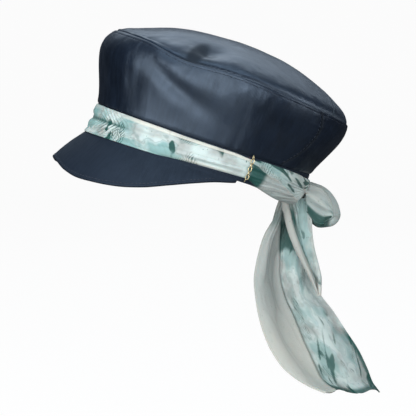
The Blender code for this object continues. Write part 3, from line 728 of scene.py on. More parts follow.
@dataclass(frozen=True)
class Finishes:
    """Every material of the cap, made once."""

    crown: bpy.types.Material
    dull: bpy.types.Material
    wrong_side: bpy.types.Material
    ribbon: bpy.types.Material
    thread: bpy.types.Material
    scarf: bpy.types.Material
    scarf_end: bpy.types.Material
    gold: bpy.types.Material

    @staticmethod
    def make() -> Finishes:
        """Make them all."""
        return Finishes(
            crown=NavyCloth("crown_sateen").make(),
            dull=NavyCloth("peak_twill", (0.0038, 0.0064, 0.0118), (0.0058, 0.0092, 0.0160),
                           (0.60, 0.72), 0.25, thread=1 / 0.0007, grain=0.3, stretch=0.2).make(),
            wrong_side=NavyCloth("crown_wrong_side", (0.010, 0.013, 0.020), (0.020, 0.026, 0.038),
                                 (0.70, 0.85), 0.20, stretch=0.2).make(),
            ribbon=Ribbon("inner_ribbon").make(),
            thread=Thread("navy_thread").make(),
            scarf=Chiffon("scarf_print_wound").make(),
            scarf_end=Chiffon("scarf_print_ends", shift=(0.31, 0.17), draw=(1.0, 0.5, 1.0)).make(),
            gold=ChainMetal().make(),
        )


@dataclass
class Stitching:
    """A line of small thread stitches laid along a path."""

    length: float = 0.0026
    pitch: float = 0.0034
    half: float = 0.00026
    sides: int = 6
    swell: tuple[float, ...] = (0.25, 0.9, 1.0, 0.9, 0.25)
    girth: float = 0.001

    def mesh(self, tailor: Tailor, name: str, path: Array, normals: Array) -> bpy.types.Mesh:
        """One mesh of every stitch: each is a tube with pinched ends that dips at both ends.

        Args:
            tailor: Makes the mesh.
            name: The mesh's name.
            path: Points along the seam.
            normals: The cloth's normal at each of them.

        Returns:
            The mesh.
        """
        run = path_run(path)
        count = max(int(run[-1] / self.pitch), 1)
        starts = (np.arange(count) + 0.5) * run[-1] / count - self.length / 2
        rings, around = len(self.swell), self.sides + 1
        along = np.linspace(0, 1, rings)
        where = starts[:, None] + self.length * along[None, :]
        middle, up = on_path(path, run, where), on_path(normals, run, where)
        up = up / np.linalg.norm(up, axis=-1, keepdims=True)
        tangent = np.gradient(middle, axis=1)
        tangent = tangent / np.linalg.norm(tangent, axis=-1, keepdims=True)
        side = np.cross(tangent, up)
        middle = middle + up * (self.half * (1.4 * np.sin(math.pi * along) - 0.6))[None, :, None]
        radius = self.half * np.array(self.swell)[None, :, None, None]
        angle = np.linspace(0, TWO_PI, around)[None, None, :, None]
        points = (middle[:, :, None, :] + radius * (np.cos(angle) * up[:, :, None, :]
                                                    + np.sin(angle) * side[:, :, None, :]))
        cloth = paired(np.repeat(where.ravel(), around),
                       np.tile(np.linspace(0, self.girth, around), count * rings))
        first = np.arange(count) * rings * around
        tubes = grid_quads(rings, around)[None, :, ::-1] + first[:, None, None]
        faces = [tubes.reshape(-1, 4)]
        for end, order in ((0, 1), (rings - 1, -1)):
            hexagon = (first + end * around)[:, None] + np.arange(self.sides)[None, ::order]
            faces += [hexagon[:, [0, 1, 2, 3]], hexagon[:, [0, 3, 4, 5]]]
        quads = np.concatenate(faces)
        return tailor.mesh(name, points.reshape(-1, 3), quads, cloth, {}, np.zeros(len(quads)))

    def sew(self, tailor: Tailor, name: str, path: Array, normals: Array,
            thread: bpy.types.Material) -> None:
        """Lay the stitches along a path and put them into the scene in this thread."""
        mesh = self.mesh(tailor, name, path, normals)
        tailor.piece(name, mesh, Slot.NAVY, [thread])


@dataclass
class Crown:
    """The soft crown: two wall panels, two top panels, their seams, stitching and inner tape."""

    shape: CapShape
    finishes: Finishes
    cloth: float = 0.0014
    wall_rows: int = 84
    side_columns: int = 430
    back_columns: int = 170
    top_rows: int = 200
    top_columns: int = 150
    slit: float = 0.00003
    seam_sink: float = 0.0005
    seam_reach: float = 0.0011
    front_drop: float = 0.0024
    front_drop_at: float = -0.090
    front_drop_half: float = 0.024
    # The dimple's painted shade on the top: its middle, half-breadth, stretch, slant and strength.
    dimple: tuple[float, float] = (0.076, -0.044)
    dimple_half: float = 0.0098
    dimple_stretch: float = 2.4
    dimple_slant: float = 0.39
    dimple_shade: float = 1.15
    stitch_below: float = 0.0029
    stitch_beside: float = 0.0026
    pucker: float = 0.00042
    drift: float = 0.0007
    tape_drops: tuple[float, float] = (0.0105, 0.0022)
    tape_inside: float = 0.0007
    tape_cloth: float = 0.0004

    def rim_sink(self, apart: Array) -> Array:
        """How deep the cloth dives into the rim seam at this distance from it."""
        return self.seam_sink * np.clip(1 - apart / self.seam_reach, 0, 1) ** 1.6

    def from_back_seam(self, turn: Array, share: Array) -> Array:
        """How far points of the wall are from the back seam on their side."""
        seam = np.radians(self.shape.back_seam(share))
        return abs(abs(self.shape.apart(turn, 0.0)) - seam) * self.shape.half_length

    def wall(self, turn: Array, share: Array) -> Array:
        """The wall's face with its fine form.

        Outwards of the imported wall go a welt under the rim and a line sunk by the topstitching,
        puckers that fade down from it, soft upright drifts, and the dips along the back seams and
        at the foot. At the rim the cloth dives inwards and down into the seam.
        """
        shape = self.shape
        rise = shape.rim_rise(turn)
        below, above = (1 - share) * rise, share * rise
        around = turn / TWO_PI
        welt = 0.00022 * bell(below, 0.0015, 0.0008)
        groove = 0.00016 * bell(below, self.stitch_below, 0.00045)
        puckers = self.pucker * (SoftNoise(3, (150, 5))(around, below / 0.02)
                                 + 0.6 * SoftNoise(4, (61, 4))(around, below / 0.03))
        puckers = puckers * np.exp(-below / 0.011) * np.clip(below / 0.002, 0, 1)
        drift = self.drift * SoftNoise(5, (34, 4))(around + 0.012 * share, share)
        drift = drift + 0.25 * self.drift * SoftNoise(6, (120, 6))(around + 0.01 * share, share)
        drift = drift * np.clip(4 * share * (1 - share), 0, 1)
        from_seam = self.from_back_seam(turn, share)
        pull = SoftNoise(7, (3, 22))(around, share) * np.exp(-from_seam / 0.007)
        seams = -0.0003 * bell(from_seam, 0.0, 0.0011) + 0.0004 * pull
        foot = -0.0008 * np.clip(1 - above / 0.0025, 0, 1) ** 1.5
        gathers = 0.00025 * SoftNoise(8, (170, 3))(around, above / 0.02) * np.exp(-above / 0.007)
        sink = self.rim_sink(below) / math.sqrt(2)
        proud = welt - groove + puckers + drift + seams + foot + gathers - sink
        points = shape.wall_point(turn, share, proud)
        points[..., 2] -= sink
        return points

    def wall_panel(self, turn: Array, share: Array) -> tuple[Surface, Array]:
        """A wall panel's face and its back, thin along its edges so that panels only touch."""
        points = self.wall(turn, share)
        cloth = paired(turn * self.shape.half_length, share * self.shape.crown_height)
        # Painted shade along the back seams, carried by the crease mark.
        crease_painted_dark = bell(self.from_back_seam(turn, share), 0.0, 0.0018)
        face = Surface(points, cloth, {"crease_painted_dark": crease_painted_dark})
        rise = self.shape.rim_rise(turn)
        edge = np.minimum((1 - share) * rise, share * rise)
        thick = self.cloth * (0.12 + 0.88 * smooth_step(edge, 0.0, 0.0022))
        columns = np.linspace(0, 1, turn.shape[1])[None, :]
        width = (turn[:, -1:] - turn[:, :1]) * self.shape.half_length
        side = np.minimum(columns, 1 - columns) * width
        thick = thick * (0.15 + 0.85 * smooth_step(side, 0.0, 0.0020))
        return face, face.moved(-thick)

    def build_wall(self, tailor: Tailor) -> None:
        """The side panel and the back panel, with a slit too fine to see along the back seams."""
        shares = np.linspace(0, 1, self.wall_rows)
        shares = np.unique(np.concatenate([shares, 1 - np.linspace(0, 0.07, 14)]))[:, None]
        seam = np.radians(self.shape.back_seam(shares))
        gap = 0.5 * self.slit / self.shape.half_length
        side = np.linspace(-1, 1, self.side_columns)[None, :] * (seam - gap)
        back = seam + gap + np.linspace(0, 2, self.back_columns)[None, :] * (math.pi - seam - gap)
        looks = (self.finishes.crown, self.finishes.wrong_side)
        for name, node, turn in (("crown_side_cloth", "crown_side", side),
                                 ("crown_back_cloth", "crown_back", back)):
            face, inner = self.wall_panel(turn, np.broadcast_to(shares, turn.shape))
            face.points = self.shape.worn(face.points)
            tailor.shell(name, face, self.shape.worn(inner), Slot.NAVY, looks, [node])

    def top_surface(self, turns: Array) -> tuple[Surface, Array]:
        """A top panel between pairs of rim points, and how thick its cloth is.

        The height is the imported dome's, plus soft drifts over the plan and puckers along the rim,
        less the broad drop in front, the dives into the rim seam and the seam across, and at the
        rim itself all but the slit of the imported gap.
        """
        shape = self.shape
        across = np.sin(np.linspace(-0.5, 0.5, self.top_columns) * math.pi)[None, :]
        rim = shape.wall_point(turns, np.ones_like(turns))
        x = rim[:, :1] * across
        y = np.broadcast_to(rim[:, 1:2], x.shape)
        height, share, reach = shape.top_height(x, y)
        apart = (1 - share) * reach
        angle = np.arctan2(x, -(y - shape.top_centre_back)) / TWO_PI
        puckers = self.pucker * (SoftNoise(11, (150, 5))(angle, apart / 0.02)
                                 + 0.7 * SoftNoise(12, (57, 4))(angle, apart / 0.03))
        puckers = puckers * np.exp(-apart / 0.012) * np.clip(apart / 0.002, 0, 1)
        drift = SoftNoise(13, (9, 9))(0.5 + x / 0.4, 0.5 + y / 0.4)
        drift = drift + 0.35 * SoftNoise(14, (29, 29))(0.5 + x / 0.4, 0.5 + y / 0.4)
        drift = drift * 1.1 * self.drift * smooth_step(apart, 0.0, 0.008)
        front = self.front_drop * bell(y, self.front_drop_at, self.front_drop_half)
        drift = drift - front * smooth_step(apart, 0.0, 0.004)
        seam_y = shape.wall_point(np.array([math.radians(shape.top_seam_turn)]), np.ones(1))[0, 1]
        from_seam = abs(y - seam_y)
        pull = SoftNoise(15, (26, 3))(0.5 + x / 0.3, from_seam / 0.02)
        seam = (-0.0007 * bell(from_seam, 0.0, 0.0008) + 0.0001 * bell(from_seam, 0.0024, 0.0013)
                + 0.0004 * pull * np.exp(-from_seam / 0.007)) * np.clip(apart / 0.004, 0, 1)
        sink = self.rim_sink(apart) / math.sqrt(2)
        height = height + puckers + drift + seam - sink
        height = height - (shape.seam_gap - self.slit) * (1 - smooth_step(apart, 0.0, 0.002))
        shrink = 1 - sink / reach
        points = np.stack([x * shrink, shape.top_centre_back + (y - shape.top_centre_back) * shrink,
                           height], axis=-1)
        thick = self.cloth * (0.10 + 0.90 * smooth_step(apart, 0.0, 0.0030))
        thick = thick * (0.15 + 0.85 * smooth_step(from_seam, 0.0, 0.0020))
        # Painted shade along the seam across the top and in a dark dimple near the rim, carried by
        # the crease mark.
        along = x - self.dimple[0]
        off = np.hypot(along / self.dimple_stretch, y - self.dimple[1] + self.dimple_slant * along)
        crease_painted_dark = bell(from_seam, 0.0, 0.0015) + self.dimple_shade * bell(off, 0.0, self.dimple_half)
        return Surface(points, paired(x, y), {"crease_painted_dark": np.clip(crease_painted_dark, 0, 1)}), thick

    def build_top(self, tailor: Tailor) -> None:
        """The two top panels; the small one behind takes every third of the rows."""
        seam = math.radians(self.shape.top_seam_turn)
        gap = 0.5 * self.slit / (self.shape.half_length * math.sin(seam))
        ease = (1 - np.cos(np.linspace(0, math.pi, self.top_rows))) / 2
        front = (seam - gap) * ease
        back = seam + gap + (math.pi - seam - gap) * ease[::3]
        back[-1] = math.pi
        looks = (self.finishes.crown, self.finishes.wrong_side)
        for name, node, turns in (("crown_top_cloth", "crown_top", front),
                                  ("crown_top_back_cloth", "crown_top_back", back)):
            face, thick = self.top_surface(turns)
            inner = face.points.copy()
            inner[..., 2] -= thick
            face.points = self.shape.worn(face.points)
            tailor.shell(name, face, self.shape.worn(inner), Slot.NAVY, looks, [node])

    def build_stitching(self, tailor: Tailor) -> None:
        """The topstitching round the rim and down both sides of each back seam."""
        shape = self.shape
        turn = np.radians(np.linspace(-180, 180, 1441))
        share = 1 - self.stitch_below / shape.rim_rise(turn)
        lines = [(turn, share)]
        shares = np.linspace(0.05, 0.95, 160)
        seam = np.radians(shape.back_seam(shares))
        off = self.stitch_beside / shape.half_length
        lines += [(sign * (seam - off), shares) for sign in (1, -1)]
        for number, (turns, heights) in enumerate(lines):
            path = self.wall(turns[None, :], np.broadcast_to(heights, turns.shape)[None, :])[0]
            Stitching().sew(tailor, f"crown_stitches_{number}", shape.worn(path),
                            shape.worn(shape.outward(turns)), self.finishes.thread)

    def build_tape(self, tailor: Tailor) -> None:
        """The tape that binds the rim seam on the inside, a thin rippled ring."""
        shape = self.shape
        turn = np.radians(np.linspace(-180, 180, 361))[None, :]
        drop = np.linspace(*self.tape_drops, 9)[:, None]
        share = 1 - drop / shape.rim_rise(turn)
        ripple = 0.00018 * SoftNoise(21, (90, 3))(turn / TWO_PI, drop / 0.012)
        depth = self.cloth + self.tape_inside + ripple
        turns = np.broadcast_to(turn, share.shape)
        near = shape.wall_point(turns, share, -depth)
        far = shape.wall_point(turns, share, -depth - self.tape_cloth)
        face = Surface(shape.worn(near), paired(turn * shape.half_length, drop))
        tailor.shell("rim_tape", face, shape.worn(far), Slot.NAVY,
                     (self.finishes.ribbon, self.finishes.ribbon), ring=True)

    def build(self, tailor: Tailor) -> None:
        """Build and dress the whole crown."""
        self.build_wall(tailor)
        self.build_top(tailor)
        self.build_stitching(tailor)
        self.build_tape(tailor)


@dataclass
class HeadBand:
    """The stiff band with its rolled lower edge, its stitching and the ribbon inside."""

    shape: CapShape
    finishes: Finishes
    columns: int = 480
    edge: float = 0.0010
    ribbon_rows: tuple[float, float] = (0.0016, 0.0212)
    ribbon_back: float = -0.0003
    ribbon_front: float = -0.0012
    seams: tuple[tuple[float, float, int], ...] = ((0.0030, -0.0012, -1), (0.0024, 0.0020, 1))

    def build(self, tailor: Tailor) -> None:
        """A ring whose edges round over, lined by a ribbed ribbon with a sewn lower edge."""
        shape = self.shape
        turn = np.radians(np.linspace(-180, 180, self.columns + 1))[None, :]
        fine = np.linspace(0, 0.0015, 7)
        height = np.concatenate([np.linspace(0, shape.band_height, 18), fine,
                                 shape.band_height - fine])
        height = np.unique(height)[:, None]
        near = np.minimum(height, shape.band_height - height)
        over = self.edge - np.sqrt(np.clip(self.edge**2 - np.clip(self.edge - near, 0, None)**2,
                                           0, None))
        cloth = paired(turn * shape.half_length, height)
        outer = shape.oval(turn, shape.band_wall - over, height)
        inner = shape.oval(turn, np.minimum(over, shape.band_wall / 2 - 1e-4), height)
        face = Surface(shape.worn(outer), cloth)
        tailor.shell("head_band_cloth", face, shape.worn(inner), Slot.NAVY,
                     (self.finishes.dull, self.finishes.dull), ["head_band"], ring=True)
        rows = np.linspace(*self.ribbon_rows, 16)[:, None]
        ripple = 0.00015 * SoftNoise(31, (60, 4))(turn / TWO_PI, rows / 0.024)
        lining = shape.oval(turn, self.ribbon_back, rows)
        front = shape.oval(turn, self.ribbon_front + ripple, rows)
        ribbon = Surface(shape.worn(lining), paired(turn * shape.half_length, rows))
        tailor.shell("band_ribbon", ribbon, shape.worn(front), Slot.NAVY,
                     (self.finishes.ribbon, self.finishes.ribbon), ring=True)
        for number, (level, out, sign) in enumerate(self.seams):
            path = shape.worn(shape.oval(turn[0], out, level))
            normal = shape.worn(sign * shape.outward(turn[0]))
            Stitching().sew(tailor, f"band_stitches_{number}", path, normal, self.finishes.thread)


PEAK_PLACES = (0, .1, .2, .3, .4, .5, .6, .7, .8, .9, 1.0)
SCARF_TURNS = (0, 25, 58, 75, 97, 106.5, 116, 132, 144, 152, 160, 170, 180)
LOOP_PLACES = (0, .09, .21, .33, .44, .55, .66, .78, .89, 1.0)
LONG_TAIL_PLACES = (0, .025, .127, .203, .304, .397, .490, .609, .712, .800, .899, .950, 1.0)
SHORT_TAIL_PLACES = (0, .03, .20, .48, .66, .84, 1.0)


@dataclass
class Peak:
    """The arched peak, its edge bound and stitched."""

    shape: CapShape
    finishes: Finishes
    half_turn: float = 103.0
    reach: float = 0.0265
    drop: float = 0.042
    wall: float = 0.0025
    bow: float = 0.12
    reaches: Curve = Curve(PEAK_PLACES, (.90, .92, .96, 1.0, .98, .91, .77, .60, .40, .19, .03))
    drops: Curve = Curve(PEAK_PLACES, (.80, .85, .93, .97, .93, .85, .70, .49, .29, .13, .03))
    binding: float = 0.0024
    binding_thick: float = 0.0003
    stitch_inside: float = 0.0007
    least_length: float = 0.008
    lip: float = 0.0018
    columns: int = 360
    rows: int = 52

    def build(self, tailor: Tailor) -> None:
        """The two faces of the peak, which round over into each other along the bound edge."""
        shape = self.shape
        places = np.linspace(-1, 1, self.columns)[None, :]
        run = 1 - (1 - np.linspace(0, 1, self.rows)[:, None]) ** 1.7
        reach = self.reach * self.reaches(abs(places))
        drop = self.drop * self.drops(abs(places))
        bow = self.bow * run * (1 - run)
        turns = np.radians(self.half_turn) * places
        points = shape.oval(turns, shape.band_wall + reach * (run + bow),
                            -shape.seam_gap - drop * (run - bow))[::-1]
        length = np.hypot(reach, drop)
        apart = ((1 - run) * length)[::-1]
        from_band = (run * length)[::-1]
        cloth = paired(turns * shape.half_length, -apart)
        face = Surface(points, cloth)
        half = self.wall / 2
        over = half - np.sqrt(np.clip(half**2 - np.clip(half - apart, 0, None) ** 2, 0, None))
        bound = 1 - smooth_step(apart, self.binding - 0.0002, self.binding + 0.0002)
        bound = self.binding_thick * bound
        wave = 0.0003 * SoftNoise(41, (40, 6))(turns / TWO_PI, from_band / 0.05)
        wave = wave * np.clip(apart / 0.006, 0, 1)
        upper = face.moved(-over + bound * np.clip(apart / 0.0006, 0, 1) + wave)
        under = face.moved(-self.wall + over)
        upper[..., 2] += self.lip * (1 - smooth_step(from_band, 0.0, 0.0024))
        shown = Surface(shape.worn(upper), cloth)
        tailor.shell("peak_cloth", shown, shape.worn(under), Slot.NAVY,
                     (self.finishes.dull, self.finishes.dull), ["peak"])
        line = np.argmin(abs(apart - self.binding - self.stitch_inside), axis=0)
        columns = np.arange(self.columns)
        long_enough = length[0] > self.least_length
        path = upper[line, columns][long_enough]
        normal = face.normals()[line, columns][long_enough]
        Stitching().sew(tailor, "peak_stitches", shape.worn(path), shape.worn(normal),
                        self.finishes.thread)


@dataclass
class WoundScarf:
    """The scarf where it is wound round the band: two rolls, gathers, pleats and a turned hem."""

    shape: CapShape
    finishes: Finishes
    peak: Peak
    puff_height: float = 0.0042
    lowers: Curve = Curve(SCARF_TURNS, (-.15, -.10, -.03, .08, .16, .18, -.04, -.24, -.26, -.08,
                                        .32, .44, .46))
    uppers: Curve = Curve(SCARF_TURNS, (.97, .97, .96, .94, .94, .90, .95, .93, .89, .84, .82,
                                        .80, .80))
    puffs: Curve = Curve(SCARF_TURNS, (1, 1, .95, .90, .92, .72, .92, 1, 1, 1, .95, .90, .85))
    notches: Curve = Curve(SCARF_TURNS, (.60, .45, .30, .30, .30, .20, .30, .35, .30, .20, .15,
                                         .10, .10))
    notch_place: float = 0.55
    notch_breadth: float = 0.13
    roll_fullness: float = 0.45
    upper_roll_less: float = 0.40
    gather_count: float = 20.0
    gather_depth: float = 0.10
    gather_slant: float = 4.0
    ridge: Curve = Curve((100, 107, 112, 119, 124, 132.5, 140, 147, 151, 156),
                         (.0230, .0185, .0160, .0132, .0120, .0067, .0027, -.0011, -.0026, -.0040))
    ridge_step: float = 0.0013
    meeting_turn: float = 160.0
    meeting_height: float = 0.007
    columns: int = 1000
    face_rows: int = 66
    back_rows: int = 9

    def puff(self, turn: Array, share: Array) -> Array:
        """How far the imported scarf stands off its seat: two soft rolls and a furrow."""
        place = np.degrees(abs(self.shape.apart(turn, 0.0)))
        roll = np.sin(math.pi * np.clip(share, 0, 1)).clip(0, 1) ** self.roll_fullness
        roll = roll * (1 - self.upper_roll_less * share)
        notch = 1 - self.notches(place) * bell(share, self.notch_place, self.notch_breadth)
        return self.puff_height * self.puffs(place) * roll * notch

    def packed_puff(self, turn: Array, share: Array) -> Array:
        """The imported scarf's own puff, gathers and all, which the chains and the knot lie on."""
        gather = np.cos(self.gather_count * turn + self.gather_slant * share)
        return self.puff(turn, share) * (1 + self.gather_depth * gather)

    def rest_out(self, turn: Array, height: Array) -> Array:
        """How far out the scarf's back lies: on the band, and lower down on the peak's slope."""
        place = abs(self.shape.apart(turn, 0.0)) / math.radians(self.peak.half_turn)
        reach = self.peak.reach * self.peak.reaches(place)
        drop = self.peak.drop * self.peak.drops(place)
        slope = reach * (1 + self.peak.bow) / (drop * (1 - self.peak.bow))
        below = np.clip(self.shape.seam_gap - height, 0, None)
        return self.shape.band_wall + self.shape.seam_gap + np.where(place < 1, slope, 0.0) * below

    def folds(self, turn: Array, share: Array, height: Array) -> tuple[Array, dict[str, Array]]:
        """The fine folds over the rolls, and the marks of hem, ink and shade.

        In front, close gathers run from both edges to the furrow in chevrons. Along the sides lie
        a few long soft folds under a turned hem. Behind the chains the cloth from the front lies
        over the cloth that goes up to the knot, along a falling ridge, and both are pleated
        towards the place where they meet.
        """
        degrees = np.degrees(self.shape.apart(turn, 0.0))
        place = abs(degrees)
        around = turn / TWO_PI + 0.5
        arc = np.radians(place) * self.shape.half_length
        body = np.sin(math.pi * np.clip(share, 0, 1)).clip(0, 1) ** 0.5
        front = 1 - smooth_step(place, 30.0, 48.0)
        behind = smooth_step(place, 104.0, 109.0)
        side = (1 - front) * (1 - behind)
        drift = SoftNoise(51, (26, 5))(around, share)
        chevron = arc - 0.021 * (1 - abs(share - self.notch_place) / 0.55)
        gathers = np.cos(TWO_PI * (chevron / 0.0052 + 0.9 * drift))
        gathers = gathers * (0.75 + 0.35 * SoftNoise(52, (90, 3))(around, share))
        long_folds = np.sin(TWO_PI * (2.6 * share + 0.5 * np.sin(2.2 * turn + 0.6)
                                           + 0.35 * drift))
        strokes = np.cos(TWO_PI * ((arc + 0.55 * height) / 0.0046 + 0.7 * drift))
        strokes = strokes * bell(share, 0.22, 0.22) * bell(place, 50.0, 22.0)
        run = np.radians(np.clip(self.meeting_turn - place, 1.0, None)) * self.shape.half_length
        angle = np.arctan2(height - self.meeting_height, run)
        pleats = np.cos(angle * TWO_PI * 11 + 3.4 * drift + 0.4 * np.sign(degrees))
        fine = np.cos(angle * TWO_PI * 29 + 4.0 * drift)
        ridge = self.ridge(place)
        over = smooth_step(ridge - height, -0.0005, 0.0006) * behind
        lip = bell(height, ridge - 0.0010, 0.0011) * behind
        lip = lip * (1 - smooth_step(place, 150.0, 156.0))
        over = over * (1 - smooth_step(place, 150.0, 157.0))
        hem = smooth_step(share, 0.845, 0.885) * (1 - 0.8 * front) * (1 - behind)
        low_hem = bell(share, 0.08, 0.055) * bell(place, 86.0, 13.0)
        # A crease above the low hem: a dip in the cloth, which the shade mark also paints dark.
        crease_painted_dark = bell(share, 0.21, 0.05) * bell(place, 86.0, 14.0)
        out = body * (front * (0.0010 * gathers - 0.0015) + 0.00042 * side * long_folds
                      + 0.00018 * side * strokes
                      + behind * (0.00045 * pleats + 0.00018 * fine) * (0.75 + 0.25 * over))
        out = out + 0.00045 * hem * np.sin(math.pi * np.clip((share - 0.845) / 0.155, 0, 1))
        out = out - 0.00045 * bell(share, 0.835, 0.02) * side
        out = out + (self.ridge_step * over + 0.0004 * lip) * np.clip(body * 1.3, 0, 1)
        out = out - 0.0005 * crease_painted_dark + 0.0004 * low_hem
        # Painted shade: the furrow, the gathers' troughs, the crease, the pleats' troughs and the
        # cloth under the ridge's overhang darken.
        painted_gather_shade = np.clip(-gathers - 0.25, 0, 1) * front
        shade = 0.80 * bell(share, self.notch_place, 0.05) * front
        out = out - 0.0016 * bell(share, self.notch_place, 0.10) * front
        shade = shade + 1.3 * painted_gather_shade * bell(share, self.notch_place - 0.1, 0.30)
        shade = shade + 0.35 * crease_painted_dark + 0.10 * behind * np.clip(-pleats, 0, 1)
        shade = shade + 0.5 * bell(height, ridge + 0.0009, 0.0006) * behind * over.clip(0.2, 1)
        # Dark print: the wash behind the chain and the leaf marks on the upper layer, carried by
        # the shade mark too.
        edge = 116.0 + 160.0 * (height - 0.008) + 0.8 * drift
        shade = shade + over * (1 - smooth_step(place, edge - 1.0, edge + 2.2))
        leaf = smooth_step(SoftNoise(53, (74, 5))(around + 0.1 * share, share), 0.32, 0.46)
        shade = shade + 0.92 * leaf * behind * (1 - over) * smooth_step(share, 0.30, 0.42)
        cream = np.clip(hem + 0.8 * low_hem + 0.35 * lip, 0, 1)
        ink = np.clip(1.0 - 0.25 * behind * (1 - over) - 0.85 * behind * over, 0, 1)
        marks = {"hem": cream, "shade": np.clip(shade, 0, 1), "ink": ink}
        return out, marks

    def build(self, tailor: Tailor) -> bpy.types.Object:
        """One closed ring of cloth: the folded face outside and the flat back on the band."""
        shape = self.shape
        turn = np.radians(np.linspace(-180, 180, self.columns + 1))[None, :]
        place = np.degrees(abs(turn))
        lower = shape.band_height * self.lowers(place)
        upper = shape.band_height * self.uppers(place)
        share = (1 - np.cos(np.linspace(0, math.pi, self.face_rows)))[:, None] / 2
        share = 0.45 * share + 0.55 * np.linspace(0, 1, self.face_rows)[:, None]
        height = lower + (upper - lower) * share
        fine, marks = self.folds(np.broadcast_to(turn, height.shape),
                                 np.broadcast_to(share, height.shape), height)
        seat = self.rest_out(turn, height)
        floor = np.clip(self.puff(turn, share) + fine, 0.0002 * np.sin(math.pi * share), None)
        outer = shape.oval(turn, seat + floor, height)
        back_share = np.linspace(1, 0, self.back_rows)[1:-1, None]
        back_height = lower + (upper - lower) * back_share
        inner = shape.oval(turn, self.rest_out(turn, back_height), back_height)
        section = np.concatenate([outer, inner, outer[:1]])
        rows, columns = section.shape[:2]
        over = smooth_step(self.ridge(place) - height, -0.0002, 0.0002) * (place > 104)
        cloth_v = np.concatenate([height + 0.05 * over, back_height,
                                  height[:1] + 0.05 * over[:1]])
        cloth_u = np.broadcast_to(turn * shape.half_length, cloth_v.shape)
        cloth = np.stack([cloth_u, cloth_v], axis=-1).reshape(-1, 2)
        spread = {}
        for mark, values in marks.items():
            rest = np.zeros((self.back_rows - 2, columns))
            spread[mark] = np.concatenate([values, rest, values[:1]]).ravel()
        quads = grid_quads(rows, columns)
        mesh = tailor.mesh("scarf_wound", shape.worn(section).reshape(-1, 3), quads, cloth, spread,
                           np.zeros(len(quads)))
        piece = tailor.piece("scarf_wound", mesh, Slot.PRINT, [self.finishes.scarf], ["scarf_band"])
        return piece


@dataclass
class SideChain:
    """A short chain of oval links from the crown's foot down over the scarf."""

    shape: CapShape
    finishes: Finishes
    scarf: WoundScarf
    behind_peak: float = 3.5
    wire: float = 0.0008
    link_length: float = 0.0052
    link_width: float = 0.0036
    link_bite: float = 0.0002
    top_share: float = 0.04
    overs: Curve = Curve((0, .25, .5, .8, 1.0), (0, .95, 1.0, .95, 0))
    heights: Curve = Curve((0, .25, .5, .8, 1.0), (1.06, .86, .54, .24, .06))
    ring_steps: int = 28
    wire_steps: int = 12

    def route(self, turn: float) -> Array:
        """The chain's route, level, as the part's source works it out."""
        stand = self.link_width / 2 * math.sin(math.pi / 4) + self.wire / 2 + self.shape.seam_gap
        here = np.array([turn])
        run = np.linspace(0, 1, 201)
        foot = float(self.shape.wall_out(here, np.array([self.top_share]))[0])
        seat = foot + (self.shape.band_wall - foot) * run
        tops = self.scarf.packed_puff(here, np.linspace(0.2, 0.85, 27)).max()
        fullest = self.shape.band_wall + self.shape.seam_gap + float(tops)
        out = seat + (fullest - seat) * self.overs(run) + stand
        return self.shape.oval(np.full_like(out, turn), out, self.shape.band_height
                               * self.heights(run))

    def link(self, length: float) -> Array:
        """One link: round wire along a stadium, as a closed grid of points."""
        around = np.linspace(0, TWO_PI, self.ring_steps + 1)[:, None]
        tube = np.linspace(0, TWO_PI, self.wire_steps + 1)[None, :]
        radius = (self.link_width - self.wire) / 2
        pull = (length - self.link_width) / 2 * np.tanh(np.cos(around) * 3.0)
        flat = radius + self.wire / 2 * np.cos(tube)
        x, y = flat * np.cos(around) + pull, flat * np.sin(around)
        z = np.broadcast_to(self.wire / 2 * np.sin(tube), x.shape)
        return np.stack([x, y, z], axis=-1)

    def build(self, tailor: Tailor, name: str, node: str, side: int) -> None:
        """Interlocked links along the route, each turned a quarter from the last."""
        turn = side * math.radians(self.scarf.peak.half_turn + self.behind_peak)
        route = self.route(turn)
        run = path_run(route)
        count = round(run[-1] / (self.link_length - 2 * self.wire))
        pitch = run[-1] / count
        model = self.link(pitch + 2 * self.wire - self.link_bite)
        points, quads = [], []
        for number in range(count):
            start, middle, end = on_path(route, run, (number + np.array([0.0, 0.5, 1.0])) * pitch)
            along = (end - start) / np.linalg.norm(end - start)
            across = np.cross(along, self.shape.outward(turn))
            across = across / np.linalg.norm(across)
            other = np.cross(along, across)
            roll = math.radians(45 if number % 2 else -45)
            first = across * math.cos(roll) + other * math.sin(roll)
            second = other * math.cos(roll) - across * math.sin(roll)
            placed = (middle + model[..., :1] * along + model[..., 1:2] * first
                      + model[..., 2:] * second)
            quads.append(grid_quads(*placed.shape[:2], first=sum(len(p) for p in points)))
            points.append(placed.reshape(-1, 3))
        points, quads = self.shape.worn(np.concatenate(points)), np.concatenate(quads)[:, ::-1]
        mesh = tailor.mesh(name, points, quads, points[:, 1:], {}, np.zeros(len(quads)))
        tailor.piece(name, mesh, Slot.GOLD, [self.finishes.gold], [node])


